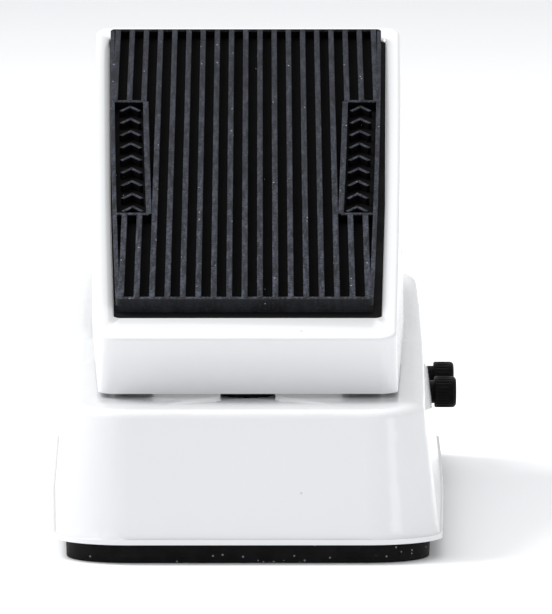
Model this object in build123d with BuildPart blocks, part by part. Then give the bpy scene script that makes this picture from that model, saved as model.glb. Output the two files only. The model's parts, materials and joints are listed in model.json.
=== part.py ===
"""Volume pedal: a die-cast treadle that drives a potentiometer through a rack and a pinion.

Millimetres. +X is the player's right, +Y points to the toe end, +Z is up. The origin is the
centre of the base pad's underside. The treadle is modelled heel down, at its rest stop.
"""

import os
from math import asin, atan2, cos, degrees, hypot, pi, radians, sin, sqrt, tan

from build123d import *

os.makedirs("parts", exist_ok=True)

# ---------------------------------------------------------------- overall sizes
length = 254.0
heel_width = 91.6
toe_width = 102.2
side_bulge = 0.8
base_thickness = 4.6
heel_height = 35.9
top_slope = 3.45
treadle_length = 210.0
rest_angle = 18.0

# ---------------------------------------------------------------- casing
casing_wall = 3.0
casing_corner = 18.0
side_draft = 7.4
heel_lean = 15.5
toe_lean = 8.8
top_edge_radius = 3.2
lip_height = 1.2
lip_overhang = 0.5
plate_thickness = 1.5
plate_ledge = 1.4
plate_clearance = 0.3
boss_radius = 4.5
base_screw_radius = 2.0
base_screw_length = 9.0
screw_head_radius = 3.6
screw_head_height = 2.2
screw_clearance = 0.05
boss_inset = 16.0
pad_inset = 2.7
pad_hole_radius = 5.0
section_top = 62.0

# ---------------------------------------------------------------- treadle
treadle_gap = 1.2
treadle_heel_y = -105.2
heel_face_height = 14.6
toe_face_height = 16.0
treadle_heel_width = 71.4
treadle_toe_width = 80.6
tread_bulge = 0.45
treadle_corner = 4.6
treadle_edge_radius = 0.8
treadle_wall = 3.2
deck_thickness = 3.4
skirt_draft = 1.8
rim_width = 3.3
heel_rim = 12.4
toe_rim = 8.0
recess_depth = 1.2
recess_corner = 2.0
stop_boss_radius = 7.6
stop_boss_inset = 9.5

# ---------------------------------------------------------------- tread pad
adhesive_thickness = 0.25
adhesive_gap = 0.3
tread_thickness = 3.7
tread_side_gap = 1.0
tread_heel_gap = 5.8
tread_toe_gap = 0.2
tread_offset = -0.5
rib_pitch = 3.75
rib_width = 1.35
rib_count = 19
groove_depth = 1.5
tread_margin = 1.2
tread_corner = 1.2

# ---------------------------------------------------------------- pivot
pivot_u = 104.0
pivot_drop = 22.0
rod_radius = 3.0
rod_fit = 0.05
rod_end_inset = 0.5
post_inner = 24.0
post_thickness = 9.0
post_head_radius = 8.0
post_foot = 28.0
bushing_radius = 5.0
bushing_flange_radius = 7.0
bushing_flange = 1.0
clip_radius = 5.2
clip_thickness = 0.8
clip_play = 0.35
clip_mouth = 3.4
boss_play = 0.3
rod_boss_radius = 7.0

# ---------------------------------------------------------------- rack and pinion
pin_arm = 52.0
pin_radius = 2.0
pin_slot_fit = 0.25
clevis_gap = 7.4
clevis_wall = 3.0
clevis_radius = 4.0
gear_module = 0.8
pinion_teeth = 12
pressure_angle = 25.0
gear_backlash = 0.12
tip_clearance = 0.2
pinion_width = 5.0
rack_width = 5.4
rack_depth = 5.0
rack_tail = 3.6
rack_end_gap = 0.6
rack_head_wall = 1.8
rack_head_height = 8.0
rack_slot_fit = 1.4
guide_fit = 0.35
guide_wall = 2.6
guide_height = 9.0
guide_setback = 1.8
spring_thickness = 0.4
spring_height = 6.0
spring_tab = 1.8

# ---------------------------------------------------------------- sweep potentiometer
pot_radius = 6.3
pot_depth = 9.0
pot_thread_radius = 3.5
pot_thread_end = 0.2
pot_shaft_radius = 2.6
pot_shaft_fit = 0.05
pot_terminal_length = 3.0
pot_terminal_width = 1.4
pot_terminal_thickness = 0.5
pot_terminal_pitch = 3.5
pot_nut_radius = 5.4
pot_nut_height = 1.6
bracket_thickness = 1.5
bracket_foot = 11.0
bracket_width = 30.0
bracket_below = 9.5
bracket_screw_grip = 2.2
bracket_screw_inset = 4.0
pinion_nut_gap = 0.6
small_screw_radius = 1.5
small_head_radius = 2.8
small_head_height = 1.8
small_screw_length = 6.0
small_boss_radius = 3.2

# ---------------------------------------------------------------- stops
bumper_radius = 6.6
bumper_inset = 8.1
bumper_seat_depth = 1.6
bumper_seat_fit = 0.1
heel_bumper_gap = 0.1
toe_bumper_gap = 0.3

# ---------------------------------------------------------------- side controls
knob_radius = 4.1
knob_length = 5.4
knob_edge = 0.9
knob_gap = 0.3
knob_hub_radius = 3.0
knob_hub_length = 2.4
knob_first_y = 58.0
knob_pitch = 25.0
knob_height = 23.0
knob_grip_count = 18
knob_grip_radius = 0.22
control_shaft_radius = 2.0
control_shaft_hole = 3.4
control_pot_size = 10.0
control_pot_depth = 7.0
control_board_x = 27.0
control_board_thickness = 1.6
control_board_margin = 12.0
control_board_height = 17.0
control_post_half = 3.2
control_post_depth = 7.0

# ---------------------------------------------------------------- sockets
jack_spacing = 36.0
jack_height = 25.0
jack_bore_radius = 3.2
jack_thread_radius = 4.7
jack_thread_length = 8.0
jack_body_size = 15.0
jack_body_depth = 22.0
jack_back_wall = 1.5
jack_hole_fit = 0.2
jack_nut_radius = 7.0
jack_nut_height = 2.2
jack_washer_radius = 7.6
jack_washer_height = 0.8
inlet_width = 11.0
inlet_height = 9.0
inlet_depth = 12.0
inlet_bore_radius = 2.8
inlet_bore_depth = 9.0
inlet_pin_radius = 1.0
inlet_thread_radius = 5.5
inlet_flange_radius = 6.6
inlet_flange = 1.5

# ---------------------------------------------------------------- electronics
board_width = 56.0
board_length = 62.0
board_thickness = 1.6
board_y = -62.0
board_height = 17.0
board_hole_inset = 4.0
capacitor_radius = 3.2
capacitor_length = 8.0
resistor_radius = 1.1
resistor_length = 6.0
lead_radius = 0.3
chip_length = 9.8
chip_width = 6.4
chip_height = 3.3
battery_length = 48.5
battery_width = 26.5
battery_height = 17.5
battery_y = 26.0
battery_x = -22.0
holder_wall = 1.5
snap_plate = 1.2
snap_cup_radius = 4.0
snap_width = 22.0
snap_height = 10.0
stud_radius = 3.0
stud_length = 1.8
stud_spacing = 12.7
wire_radius = 0.7
wire_bend = 2.0
wire_lead = 5.0

# ---------------------------------------------------------------- derived places
lower_edge = base_thickness
heel_end = -length / 2
toe_end = length / 2
casing_rise = heel_height - lower_edge
top_heel_y = heel_end + casing_rise * tan(radians(heel_lean))
plate_top = lower_edge + plate_thickness
slope_rise = tan(radians(top_slope))


def top_height(y):
    """Height of the casing's sloping top over a place on its centre line."""
    return heel_height + (y - top_heel_y) * slope_rise


def half_width(y, height, inset=0.0):
    """Half of the casing's outer width, without its bulge, less an inset."""
    share = (y - heel_end) / length
    at_edge = (heel_width + (toe_width - heel_width) * share) / 2
    return at_edge - (height - lower_edge) * tan(radians(side_draft)) - inset


rest = radians(rest_angle)
heel_edge_y = treadle_heel_y + heel_face_height * sin(rest)
heel_edge_z = top_height(heel_edge_y) + treadle_gap / cos(radians(top_slope))
treadle_heel_z = heel_edge_z + heel_face_height * cos(rest)
treadle_plane = Plane(
    origin=(0, treadle_heel_y, treadle_heel_z),
    x_dir=(1, 0, 0),
    z_dir=(0, -sin(rest), cos(rest)),
)


def on_treadle(u, n):
    """Place (y, z) at a distance u from the heel edge and n above the treadle's plane."""
    y = treadle_heel_y + u * cos(rest) - n * sin(rest)
    z = treadle_heel_z + u * sin(rest) + n * cos(rest)
    return y, z


# the skirt's lower edges are tangents to one circle about the pivot, so the treadle keeps
# the same gap to the casing's top at both ends of its travel
heel_edge_angle = radians(rest_angle - top_slope)
heel_edge_drop = heel_face_height + pivot_u * tan(heel_edge_angle) - pivot_drop
skirt_radius = heel_edge_drop * cos(heel_edge_angle)
toe_reach = treadle_length - pivot_u
toe_drop = pivot_drop - toe_face_height
toe_edge_angle = atan2(toe_drop, toe_reach) + asin(skirt_radius / hypot(toe_reach, toe_drop))
treadle_travel = heel_edge_angle + toe_edge_angle

pivot_y, pivot_z = on_treadle(pivot_u, -pivot_drop)
half_travel = treadle_travel / 2
pin_y = pivot_y + pin_arm * cos(half_travel)
pin_z = pivot_z + pin_arm * sin(half_travel)
rack_travel = 2 * pin_arm * sin(half_travel)
pin_swing = pin_arm * (1 - cos(half_travel))
rack_y = pin_y + pin_swing / 2
pitch_radius = gear_module * pinion_teeth / 2
rack_face_y = rack_y + rack_depth / 2
pinion_y = rack_face_y + pitch_radius
rack_low_z = plate_top + rack_end_gap + rack_travel
pinion_z = rack_low_z + rack_tail
bracket_x = pinion_width / 2 + pinion_nut_gap + pot_nut_height
pot_x = bracket_x + bracket_thickness
post_outer = post_inner + post_thickness
bushing_outer = post_outer + bushing_flange
boss_inner = bushing_outer + clip_play + clip_thickness + boss_play
skirt_spread = tan(radians(skirt_draft))
deck_depth = recess_depth + deck_thickness
skirt_bottom = pivot_drop + skirt_radius


def toe_down(y, z):
    """Place (y, z) that a point of the treadle reaches at the end of its travel."""
    along = y - pivot_y
    up = z - pivot_z
    turned_y = pivot_y + along * cos(treadle_travel) + up * sin(treadle_travel)
    turned_z = pivot_z - along * sin(treadle_travel) + up * cos(treadle_travel)
    return turned_y, turned_z


def treadle_half(u, depth=0.0, inset=0.0):
    """Half of the treadle's outer width, without its bulge, at a depth below its plane."""
    at_top = (treadle_heel_width + (treadle_toe_width - treadle_heel_width) * u / treadle_length) / 2
    return at_top + depth * skirt_spread - inset


def tapered_outline(plane, start, end, start_half, end_half, bulge, corner):
    """Sketch symmetric about Y, with bowed sides and round corners."""
    middle = (start + end) / 2
    middle_half = (start_half + end_half) / 2 + bulge
    with BuildSketch(plane) as outline:
        with BuildLine():
            Line((-start_half, start), (start_half, start))
            ThreePointArc((start_half, start), (middle_half, middle), (end_half, end))
            Line((end_half, end), (-end_half, end))
            ThreePointArc((-end_half, end), (-middle_half, middle), (-start_half, start))
        make_face()
        fillet(outline.vertices(), corner)
    return outline.sketch


def casing_section(height, inset=0.0):
    """Outline of the casing at a height, on its own level plane."""
    rise = height - lower_edge
    start = heel_end + rise * tan(radians(heel_lean)) + inset
    end = toe_end - rise * tan(radians(toe_lean)) - inset
    start_half = half_width(start, height, inset)
    end_half = half_width(end, height, inset)
    corner = casing_corner - inset - rise * tan(radians(side_draft))
    plane = Plane.XY.offset(height)
    return tapered_outline(plane, start, end, start_half, end_half, side_bulge, corner)


def treadle_section(depth, inset=0.0):
    """Outline of the treadle at a depth below its top plane."""
    end = treadle_length - inset
    start_half = treadle_half(inset, depth, inset)
    end_half = treadle_half(end, depth, inset)
    corner = max(treadle_corner - inset, treadle_corner / 4)
    plane = treadle_plane.offset(-depth)
    return tapered_outline(plane, inset, end, start_half, end_half, tread_bulge, corner)


top_plane = Plane(
    origin=(0, top_heel_y, heel_height),
    x_dir=(1, 0, 0),
    z_dir=(0, -sin(radians(top_slope)), cos(radians(top_slope))),
)
roof_plane = top_plane.offset(-casing_wall)

# toe wall: a plane on its outer face, at the height of the sockets
toe_lean_angle = radians(toe_lean)
jack_y = toe_end - (jack_height - lower_edge) * tan(toe_lean_angle)
toe_plane = Plane(
    origin=(0, jack_y, jack_height),
    x_dir=(1, 0, 0),
    z_dir=(0, cos(toe_lean_angle), sin(toe_lean_angle)),
)
jack_places = [(-jack_spacing / 2, 0), (jack_spacing / 2, 0)]

knob_places = []
for index in range(2):
    knob_y = knob_first_y + index * knob_pitch
    knob_places.append((knob_y, knob_height + index * knob_pitch * slope_rise))
knob_faces = [half_width(y, z - knob_radius) + side_bulge + knob_gap for y, z in knob_places]
knob_end_x = knob_faces[-1] + knob_length
board_hole_x = board_width / 2 - board_hole_inset
board_hole_y = board_length / 2 - board_hole_inset
board_holes = [
    (side * board_hole_x, board_y + end * board_hole_y) for side in (-1, 1) for end in (-1, 1)
]


def boss_places():
    """Centres of the four base screws, set in from the plate's corners."""
    places = []
    for end, inward in ((heel_end, 1), (toe_end, -1)):
        y = end + inward * boss_inset
        x = half_width(y, lower_edge) - boss_inset
        places += [(-x, y), (x, y)]
    return places


roof_cos = cos(radians(top_slope))


def on_roof(y):
    """Distance along the roof's plane to the point above or below a place y."""
    return (y - roof_plane.origin.Y) / roof_cos


bracket_screws_x = bracket_x + bracket_foot / 2 + bracket_thickness / 2
bracket_reach = bracket_width / 2 - bracket_screw_inset
bracket_screw_places = [
    (bracket_screws_x, on_roof(pinion_y - bracket_reach)),
    (bracket_screws_x, on_roof(pinion_y + bracket_reach)),
]
control_post_places = [
    knob_places[0][0] - control_board_margin + control_post_half,
    knob_places[1][0] + control_board_margin - control_post_half,
]
control_screw_z = (knob_places[0][1] + knob_places[1][1]) / 2
control_post_x = control_board_x + control_board_thickness
heel_bumper_y = on_treadle(0, -heel_face_height)[0] + bumper_inset
toe_bumper_y = toe_down(*on_treadle(treadle_length, -toe_face_height))[0] - bumper_inset


def bumper_outline(y, radius):
    """Round sketch for a bumper or its seat on the casing's sloping top."""
    plane = Plane(origin=(0, y, top_height(y)), x_dir=(1, 0, 0), z_dir=top_plane.z_dir)
    with BuildSketch(plane) as outline:
        Circle(radius)
    return outline.sketch


# ---------------------------------------------------------------- casing
with BuildPart() as casing_block:
    add(casing_section(lower_edge))
    add(casing_section(section_top))
    loft(ruled=True)
    split(bisect_by=top_plane, keep=Keep.BOTTOM)
    fillet(casing_block.faces().sort_by(Axis.Z)[-1].edges(), top_edge_radius)

with BuildPart() as cavity:
    add(casing_section(lower_edge, casing_wall))
    add(casing_section(section_top, casing_wall))
    loft(ruled=True)
    split(bisect_by=roof_plane, keep=Keep.BOTTOM)

with BuildPart() as inner_bosses:
    with BuildSketch(Plane.XY.offset(plate_top)):
        with Locations(boss_places()):
            Circle(boss_radius)
    extrude(amount=section_top)
    with BuildSketch(Plane.XY.offset(board_height + board_thickness)):
        with Locations(board_holes):
            Circle(small_boss_radius)
    extrude(amount=section_top)
    for post_y in control_post_places:
        with BuildSketch(Plane.XY.offset(control_screw_z - small_boss_radius)):
            with Locations((control_post_x + control_post_depth / 2, post_y)):
                Rectangle(control_post_depth, 2 * control_post_half)
        extrude(amount=section_top)
    add(casing_block.part, mode=Mode.INTERSECT)

with BuildPart() as posts:
    with BuildSketch(Plane.YZ.offset(post_inner)):
        with Locations((pivot_y, pivot_z)):
            Circle(post_head_radius)
        with Locations((pivot_y, top_height(pivot_y) - casing_wall / 2)):
            Rectangle(post_foot, casing_wall / 3)
        make_hull()
    extrude(amount=post_thickness)
    with BuildSketch(Plane.YZ.offset(post_inner)):
        with Locations((pivot_y, pivot_z)):
            Circle(bushing_radius)
    extrude(amount=post_thickness, mode=Mode.SUBTRACT)
    mirror(about=Plane.YZ)

with BuildPart() as casing:
    add(casing_block.part)
    add(casing_section(lower_edge, -lip_overhang))
    extrude(amount=lip_height)
    add(cavity.part, mode=Mode.SUBTRACT)
    add(inner_bosses.part)
    add(casing_section(lower_edge, plate_ledge))
    extrude(amount=plate_thickness, mode=Mode.SUBTRACT)
    with BuildSketch(Plane.XY.offset(plate_top)):
        with Locations(boss_places()):
            Circle(base_screw_radius + screw_clearance)
    extrude(amount=base_screw_length, mode=Mode.SUBTRACT)
    with BuildSketch(Plane.XY.offset(board_height + board_thickness)):
        with Locations(board_holes):
            Circle(small_screw_radius + screw_clearance)
    extrude(amount=small_screw_length, mode=Mode.SUBTRACT)
    for post_y in control_post_places:
        with BuildSketch(Plane.YZ.offset(control_post_x)):
            with Locations((post_y, control_screw_z)):
                Circle(small_screw_radius + screw_clearance)
        extrude(amount=small_screw_length, mode=Mode.SUBTRACT)
    with BuildSketch(roof_plane):
        with Locations(bracket_screw_places):
            Circle(small_screw_radius + screw_clearance)
    extrude(amount=bracket_screw_grip + screw_clearance, mode=Mode.SUBTRACT)
    add(posts.part)
    with BuildSketch(Plane.XY.offset(pinion_z)):
        with Locations((0, rack_y + gear_module / 2)):
            Rectangle(
                rack_width + 2 * rack_slot_fit, rack_depth + gear_module + 2 * rack_slot_fit
            )
    extrude(amount=section_top, mode=Mode.SUBTRACT)
    with BuildSketch(toe_plane.offset(-2 * casing_wall)):
        with Locations(jack_places):
            Circle(jack_thread_radius + jack_hole_fit)
        Circle(inlet_thread_radius + jack_hole_fit)
    extrude(amount=3 * casing_wall, mode=Mode.SUBTRACT)
    for knob_y, knob_z in knob_places:
        with BuildSketch(Plane.YZ.offset(control_post_x + control_post_depth)):
            with Locations((knob_y, knob_z)):
                Circle(control_shaft_hole)
        extrude(amount=length, mode=Mode.SUBTRACT)
    for bumper_y in (heel_bumper_y, toe_bumper_y):
        extrude(
            bumper_outline(bumper_y, bumper_radius + bumper_seat_fit),
            amount=-bumper_seat_depth,
            mode=Mode.SUBTRACT,
        )
casing.part.label = "casing"
export_step(casing.part, "parts/casing.step")

# ---------------------------------------------------------------- treadle
side_plane = Plane(
    origin=treadle_plane.origin,
    x_dir=(0, cos(rest), sin(rest)),
    z_dir=(1, 0, 0),
)
heel_tangent = (
    pivot_u - skirt_radius * sin(heel_edge_angle),
    -pivot_drop - skirt_radius * cos(heel_edge_angle),
)
toe_tangent = (
    pivot_u + skirt_radius * sin(toe_edge_angle),
    -pivot_drop - skirt_radius * cos(toe_edge_angle),
)

with BuildPart() as treadle_profile:
    with BuildSketch(side_plane.offset(-toe_width)):
        with BuildLine():
            Polyline(
                heel_tangent,
                (0, -heel_face_height),
                (0, 0),
                (treadle_length, 0),
                (treadle_length, -toe_face_height),
                toe_tangent,
            )
            ThreePointArc(toe_tangent, (pivot_u, -skirt_bottom), heel_tangent)
        make_face()
    extrude(amount=2 * toe_width)

with BuildPart() as treadle_block:
    add(treadle_section(0))
    add(treadle_section(skirt_bottom + treadle_wall))
    loft(ruled=True)
    treadle_top = treadle_block.faces().sort_by(Axis(treadle_plane.origin, treadle_plane.z_dir))[-1]
    fillet(treadle_top.edges(), treadle_edge_radius)
    add(treadle_profile.part, mode=Mode.INTERSECT)

with BuildPart() as treadle_cavity:
    add(treadle_section(deck_depth, treadle_wall))
    add(treadle_section(skirt_bottom + 2 * treadle_wall, treadle_wall))
    loft(ruled=True)

recess_start_half = treadle_half(heel_rim, 0, rim_width)
recess_end = treadle_length - toe_rim
recess_end_half = treadle_half(recess_end, 0, rim_width)


def tread_outline(height, start, end, inset, shift, corner):
    """Sketch that follows the recess, set in from its sides, at a height above the plane."""
    plane = treadle_plane.offset(height)
    start_half = treadle_half(start, 0, rim_width + inset)
    end_half = treadle_half(end, 0, rim_width + inset)
    sketch = tapered_outline(plane, start, end, start_half, end_half, tread_bulge, corner)
    return sketch.moved(Location((shift, 0, 0)))


with BuildPart() as treadle_bosses:
    for boss_side in (-1, 1):
        with BuildSketch(Plane.YZ.offset(boss_side * boss_inner)):
            with Locations((pivot_y, pivot_z)):
                Circle(rod_boss_radius)
        extrude(amount=boss_side * toe_width)
    with BuildSketch(treadle_plane.offset(-recess_depth)):
        with Locations((0, stop_boss_inset), (0, treadle_length - stop_boss_inset)):
            Circle(stop_boss_radius)
    extrude(amount=-2 * skirt_bottom)
    for lug_side in (-1, 1):
        with BuildSketch(Plane.YZ.offset(lug_side * clevis_gap / 2)):
            with Locations((pin_y, pin_z)):
                Circle(clevis_radius)
            with Locations(on_treadle(pivot_u + pin_arm, -deck_depth)):
                Rectangle(3 * clevis_radius, clevis_wall, rotation=rest_angle)
            make_hull()
        extrude(amount=lug_side * clevis_wall)
    add(treadle_block.part, mode=Mode.INTERSECT)

with BuildPart() as treadle:
    add(treadle_block.part)
    add(treadle_cavity.part, mode=Mode.SUBTRACT)
    add(treadle_bosses.part)
    extrude(
        tread_outline(0, heel_rim, recess_end, 0, 0, recess_corner),
        amount=recess_depth,
        dir=-treadle_plane.z_dir,
        mode=Mode.SUBTRACT,
    )
    with BuildSketch(Plane.YZ.offset(-toe_width)):
        with Locations((pivot_y, pivot_z)):
            Circle(rod_radius)
    extrude(amount=2 * toe_width, mode=Mode.SUBTRACT)
    with BuildSketch(Plane.YZ.offset(-clevis_gap / 2 - clevis_wall)):
        with Locations((pin_y, pin_z)):
            Circle(pin_radius)
    extrude(amount=clevis_gap + 2 * clevis_wall, mode=Mode.SUBTRACT)
treadle.part.label = "treadle"
export_step(treadle.part, "parts/treadle.step")

# ---------------------------------------------------------------- tread pad and its adhesive
tread_start = heel_rim + tread_heel_gap
tread_end = recess_end - tread_toe_gap
tread_bottom = -recess_depth + adhesive_thickness
tread_top = tread_bottom + tread_thickness

with BuildPart() as tread_adhesive:
    extrude(
        tread_outline(
            -recess_depth,
            heel_rim + adhesive_gap,
            recess_end - adhesive_gap,
            adhesive_gap,
            0,
            recess_corner - adhesive_gap,
        ),
        amount=adhesive_thickness,
        dir=treadle_plane.z_dir,
    )
tread_adhesive.part.label = "tread_adhesive"
export_step(tread_adhesive.part, "parts/tread_adhesive.step")

with BuildPart() as tread_edge:
    extrude(
        tread_outline(
            tread_top,
            tread_start + tread_margin,
            tread_end,
            tread_side_gap + tread_margin,
            tread_offset,
            tread_corner,
        ),
        amount=groove_depth,
        dir=-treadle_plane.z_dir,
    )

with BuildPart() as grooves:
    for index in range(rib_count + 1):
        groove_x = tread_offset + (index - rib_count / 2) * rib_pitch
        with BuildSketch(treadle_plane.offset(tread_top)):
            with Locations((groove_x, treadle_length / 2)):
                Rectangle(rib_pitch - rib_width, treadle_length)
        extrude(amount=-groove_depth)
    add(tread_edge.part, mode=Mode.INTERSECT)

with BuildPart() as tread_pad:
    extrude(
        tread_outline(
            tread_bottom, tread_start, tread_end, tread_side_gap, tread_offset, tread_corner
        ),
        amount=tread_thickness,
        dir=treadle_plane.z_dir,
    )
    add(grooves.part, mode=Mode.SUBTRACT)
tread_pad.part.label = "tread_pad"
export_step(tread_pad.part, "parts/tread_pad.step")

# ---------------------------------------------------------------- pivot rod, bushings, clips
rod_half_length = treadle_half(pivot_u, pivot_drop) + tread_bulge - rod_end_inset
with BuildPart() as pivot_rod:
    with BuildSketch(Plane.YZ.offset(-rod_half_length)):
        with Locations((pivot_y, pivot_z)):
            Circle(rod_radius)
    extrude(amount=2 * rod_half_length)
pivot_rod.part.label = "pivot_rod"
export_step(pivot_rod.part, "parts/pivot_rod.step")

with BuildPart() as pivot_bushings:
    with BuildSketch(Plane.YZ.offset(post_inner)):
        with Locations((pivot_y, pivot_z)):
            Circle(bushing_radius)
    extrude(amount=post_thickness)
    with BuildSketch(Plane.YZ.offset(post_outer)):
        with Locations((pivot_y, pivot_z)):
            Circle(bushing_flange_radius)
    extrude(amount=bushing_flange)
    with BuildSketch(Plane.YZ.offset(post_inner)):
        with Locations((pivot_y, pivot_z)):
            Circle(rod_radius + rod_fit)
    extrude(amount=post_thickness + bushing_flange, mode=Mode.SUBTRACT)
    mirror(about=Plane.YZ)
pivot_bushings.part.label = "pivot_bushings"
export_step(pivot_bushings.part, "parts/pivot_bushings.step")

with BuildPart() as pivot_clips:
    with BuildSketch(Plane.YZ.offset(bushing_outer + clip_play)):
        with Locations((pivot_y, pivot_z)):
            Circle(clip_radius)
            Circle(rod_radius, mode=Mode.SUBTRACT)
        with Locations((pivot_y, pivot_z + clip_radius)):
            Rectangle(clip_mouth, 2 * clip_radius, mode=Mode.SUBTRACT)
    extrude(amount=clip_thickness)
    mirror(about=Plane.YZ)
pivot_clips.part.label = "pivot_clips"
export_step(pivot_clips.part, "parts/pivot_clips.step")

# ---------------------------------------------------------------- rack pin, rack and pinion
pin_half_length = clevis_gap / 2 + clevis_wall
with BuildPart() as rack_pin:
    with BuildSketch(Plane.YZ.offset(-pin_half_length)):
        with Locations((pin_y, pin_z)):
            Circle(pin_radius)
    extrude(amount=2 * pin_half_length)
rack_pin.part.label = "rack_pin"
export_step(rack_pin.part, "parts/rack_pin.step")

tooth_pitch = pi * gear_module
half_tooth = (tooth_pitch - gear_backlash) / 4
flank = tan(radians(pressure_angle))
root_y = rack_face_y - gear_module - tip_clearance
tip_y = rack_face_y + gear_module
root_half = half_tooth + (gear_module + tip_clearance) * flank
tip_half = half_tooth - gear_module * flank
rack_back_y = rack_y - rack_depth / 2
slot_half_height = pin_radius + pin_slot_fit
slot_length = 2 * slot_half_height + pin_swing + 2 * pin_slot_fit
head_length = slot_length + 2 * rack_head_wall
tooth_low = -int((rack_tail - root_half) / tooth_pitch)
tooth_high = int((rack_travel + rack_tail) / tooth_pitch) + 1
tooth_places = [pinion_z + index * tooth_pitch for index in range(tooth_low, tooth_high + 1)]

with BuildPart() as rack:
    with BuildSketch(Plane.YZ.offset(-rack_width / 2)):
        with BuildLine():
            Polyline(
                (rack_back_y, rack_low_z),
                (root_y, rack_low_z),
                (root_y, pin_z),
                (rack_back_y, pin_z),
                close=True,
            )
        make_face()
        with Locations((rack_y, pin_z)):
            Rectangle(head_length, rack_head_height)
        for tooth_z in tooth_places:
            with BuildLine():
                Polyline(
                    (root_y, tooth_z - root_half),
                    (tip_y, tooth_z - tip_half),
                    (tip_y, tooth_z + tip_half),
                    (root_y, tooth_z + root_half),
                    close=True,
                )
            make_face()
        with Locations((rack_y, pin_z)):
            SlotOverall(slot_length, 2 * slot_half_height, mode=Mode.SUBTRACT)
    extrude(amount=rack_width)
rack.part.label = "rack"
export_step(rack.part, "parts/rack.step")

base_circle = pitch_radius * cos(radians(pressure_angle))
tip_circle = pitch_radius + gear_module
root_circle = pitch_radius - gear_module - tip_clearance
half_angle_at_pitch = half_tooth / pitch_radius
flank_steps = 5


def roll_angle(radius):
    """Involute function: the angle a flank turns through from the base circle to a radius."""
    reach = sqrt(max((radius / base_circle) ** 2 - 1, 0))
    return reach - atan2(reach, 1)


def tooth_flank(side, centre_angle):
    """Points of one flank of the pinion, from the root to the tip, as (y, z)."""
    offset = half_angle_at_pitch + roll_angle(pitch_radius)
    radii = [root_circle]
    radii += [base_circle + (tip_circle - base_circle) * k / flank_steps for k in range(flank_steps + 1)]
    points = []
    for radius in radii:
        angle = centre_angle + side * (offset - roll_angle(radius))
        points.append((pinion_y + radius * cos(angle), pinion_z + radius * sin(angle)))
    return points


tooth_step = 2 * pi / pinion_teeth
pinion_outline = []
for index in range(pinion_teeth):
    tooth_angle = (index + 0.5) * tooth_step
    pinion_outline += tooth_flank(-1, tooth_angle)
    pinion_outline += reversed(tooth_flank(1, tooth_angle))

with BuildPart() as pinion:
    with BuildSketch(Plane.YZ.offset(-pinion_width / 2)):
        with BuildLine():
            Polyline(*pinion_outline, close=True)
        make_face()
        with Locations((pinion_y, pinion_z)):
            Circle(pot_shaft_radius, mode=Mode.SUBTRACT)
    extrude(amount=pinion_width)
pinion.part.label = "pinion"
export_step(pinion.part, "parts/pinion.step")


# ---------------------------------------------------------------- sweep potentiometer
pinion_axis = (pinion_y, pinion_z)
thread_end_x = bracket_x - pot_nut_height - pot_thread_end
shaft_tip_x = -pinion_width / 2 - pinion_nut_gap
pot_middle_x = pot_x + pot_depth / 2
terminal_x = pot_x + pot_terminal_length
terminal_end_z = pinion_z - pot_radius - pot_terminal_length


def disc(x, centre, radius):
    """Round sketch square to X, at a place (y, z)."""
    with BuildSketch(Plane.YZ.offset(x)) as outline:
        with Locations(centre):
            Circle(radius)
    return outline.sketch


with BuildPart() as sweep_pot_body:
    extrude(disc(pot_x, pinion_axis, pot_radius), amount=pot_depth)
    extrude(disc(thread_end_x, pinion_axis, pot_thread_radius), amount=pot_x - thread_end_x)
    with BuildSketch(Plane.XY.offset(terminal_end_z)):
        with Locations([(terminal_x, pinion_y + k * pot_terminal_pitch) for k in (-1, 0, 1)]):
            Rectangle(pot_terminal_thickness, pot_terminal_width)
    extrude(amount=1.5 * pot_terminal_length)
    extrude(
        disc(thread_end_x, pinion_axis, pot_shaft_radius + pot_shaft_fit),
        amount=pot_middle_x - thread_end_x,
        mode=Mode.SUBTRACT,
    )
sweep_pot_body.part.label = "sweep_pot_body"
export_step(sweep_pot_body.part, "parts/sweep_pot_body.step")

with BuildPart() as sweep_pot_shaft:
    extrude(
        disc(shaft_tip_x, pinion_axis, pot_shaft_radius),
        amount=pot_middle_x - pot_shaft_fit - shaft_tip_x,
    )
sweep_pot_shaft.part.label = "sweep_pot_shaft"
export_step(sweep_pot_shaft.part, "parts/sweep_pot_shaft.step")

with BuildPart() as sweep_pot_nut:
    with BuildSketch(Plane.YZ.offset(bracket_x - pot_nut_height)):
        with Locations(pinion_axis):
            RegularPolygon(pot_nut_radius, 6)
            Circle(pot_thread_radius, mode=Mode.SUBTRACT)
    extrude(amount=pot_nut_height)
sweep_pot_nut.part.label = "sweep_pot_nut"
export_step(sweep_pot_nut.part, "parts/sweep_pot_nut.step")

with BuildPart() as pot_bracket:
    with BuildSketch(Plane.YZ.offset(bracket_x)):
        with Locations((pinion_y, pinion_z - bracket_below)):
            Rectangle(bracket_width, section_top, align=(Align.CENTER, Align.MIN))
        with Locations(pinion_axis):
            Circle(pot_thread_radius, mode=Mode.SUBTRACT)
    extrude(amount=bracket_thickness)
    split(bisect_by=roof_plane, keep=Keep.BOTTOM)
    with BuildSketch(roof_plane):
        with Locations((bracket_x, on_roof(pinion_y))):
            Rectangle(bracket_foot, bracket_width, align=(Align.MIN, Align.CENTER))
        with Locations(bracket_screw_places):
            Circle(small_screw_radius + screw_clearance, mode=Mode.SUBTRACT)
    extrude(amount=-bracket_thickness)
pot_bracket.part.label = "pot_bracket"
export_step(pot_bracket.part, "parts/pot_bracket.step")

with BuildPart() as bracket_screws:
    with BuildSketch(roof_plane.offset(-bracket_thickness)):
        with Locations(bracket_screw_places):
            Circle(small_screw_radius)
    extrude(amount=bracket_thickness + bracket_screw_grip)
    with BuildSketch(roof_plane.offset(-bracket_thickness)):
        with Locations(bracket_screw_places):
            Circle(small_head_radius)
    extrude(amount=-small_head_height)
bracket_screws.part.label = "bracket_screws"
export_step(bracket_screws.part, "parts/bracket_screws.step")

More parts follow.
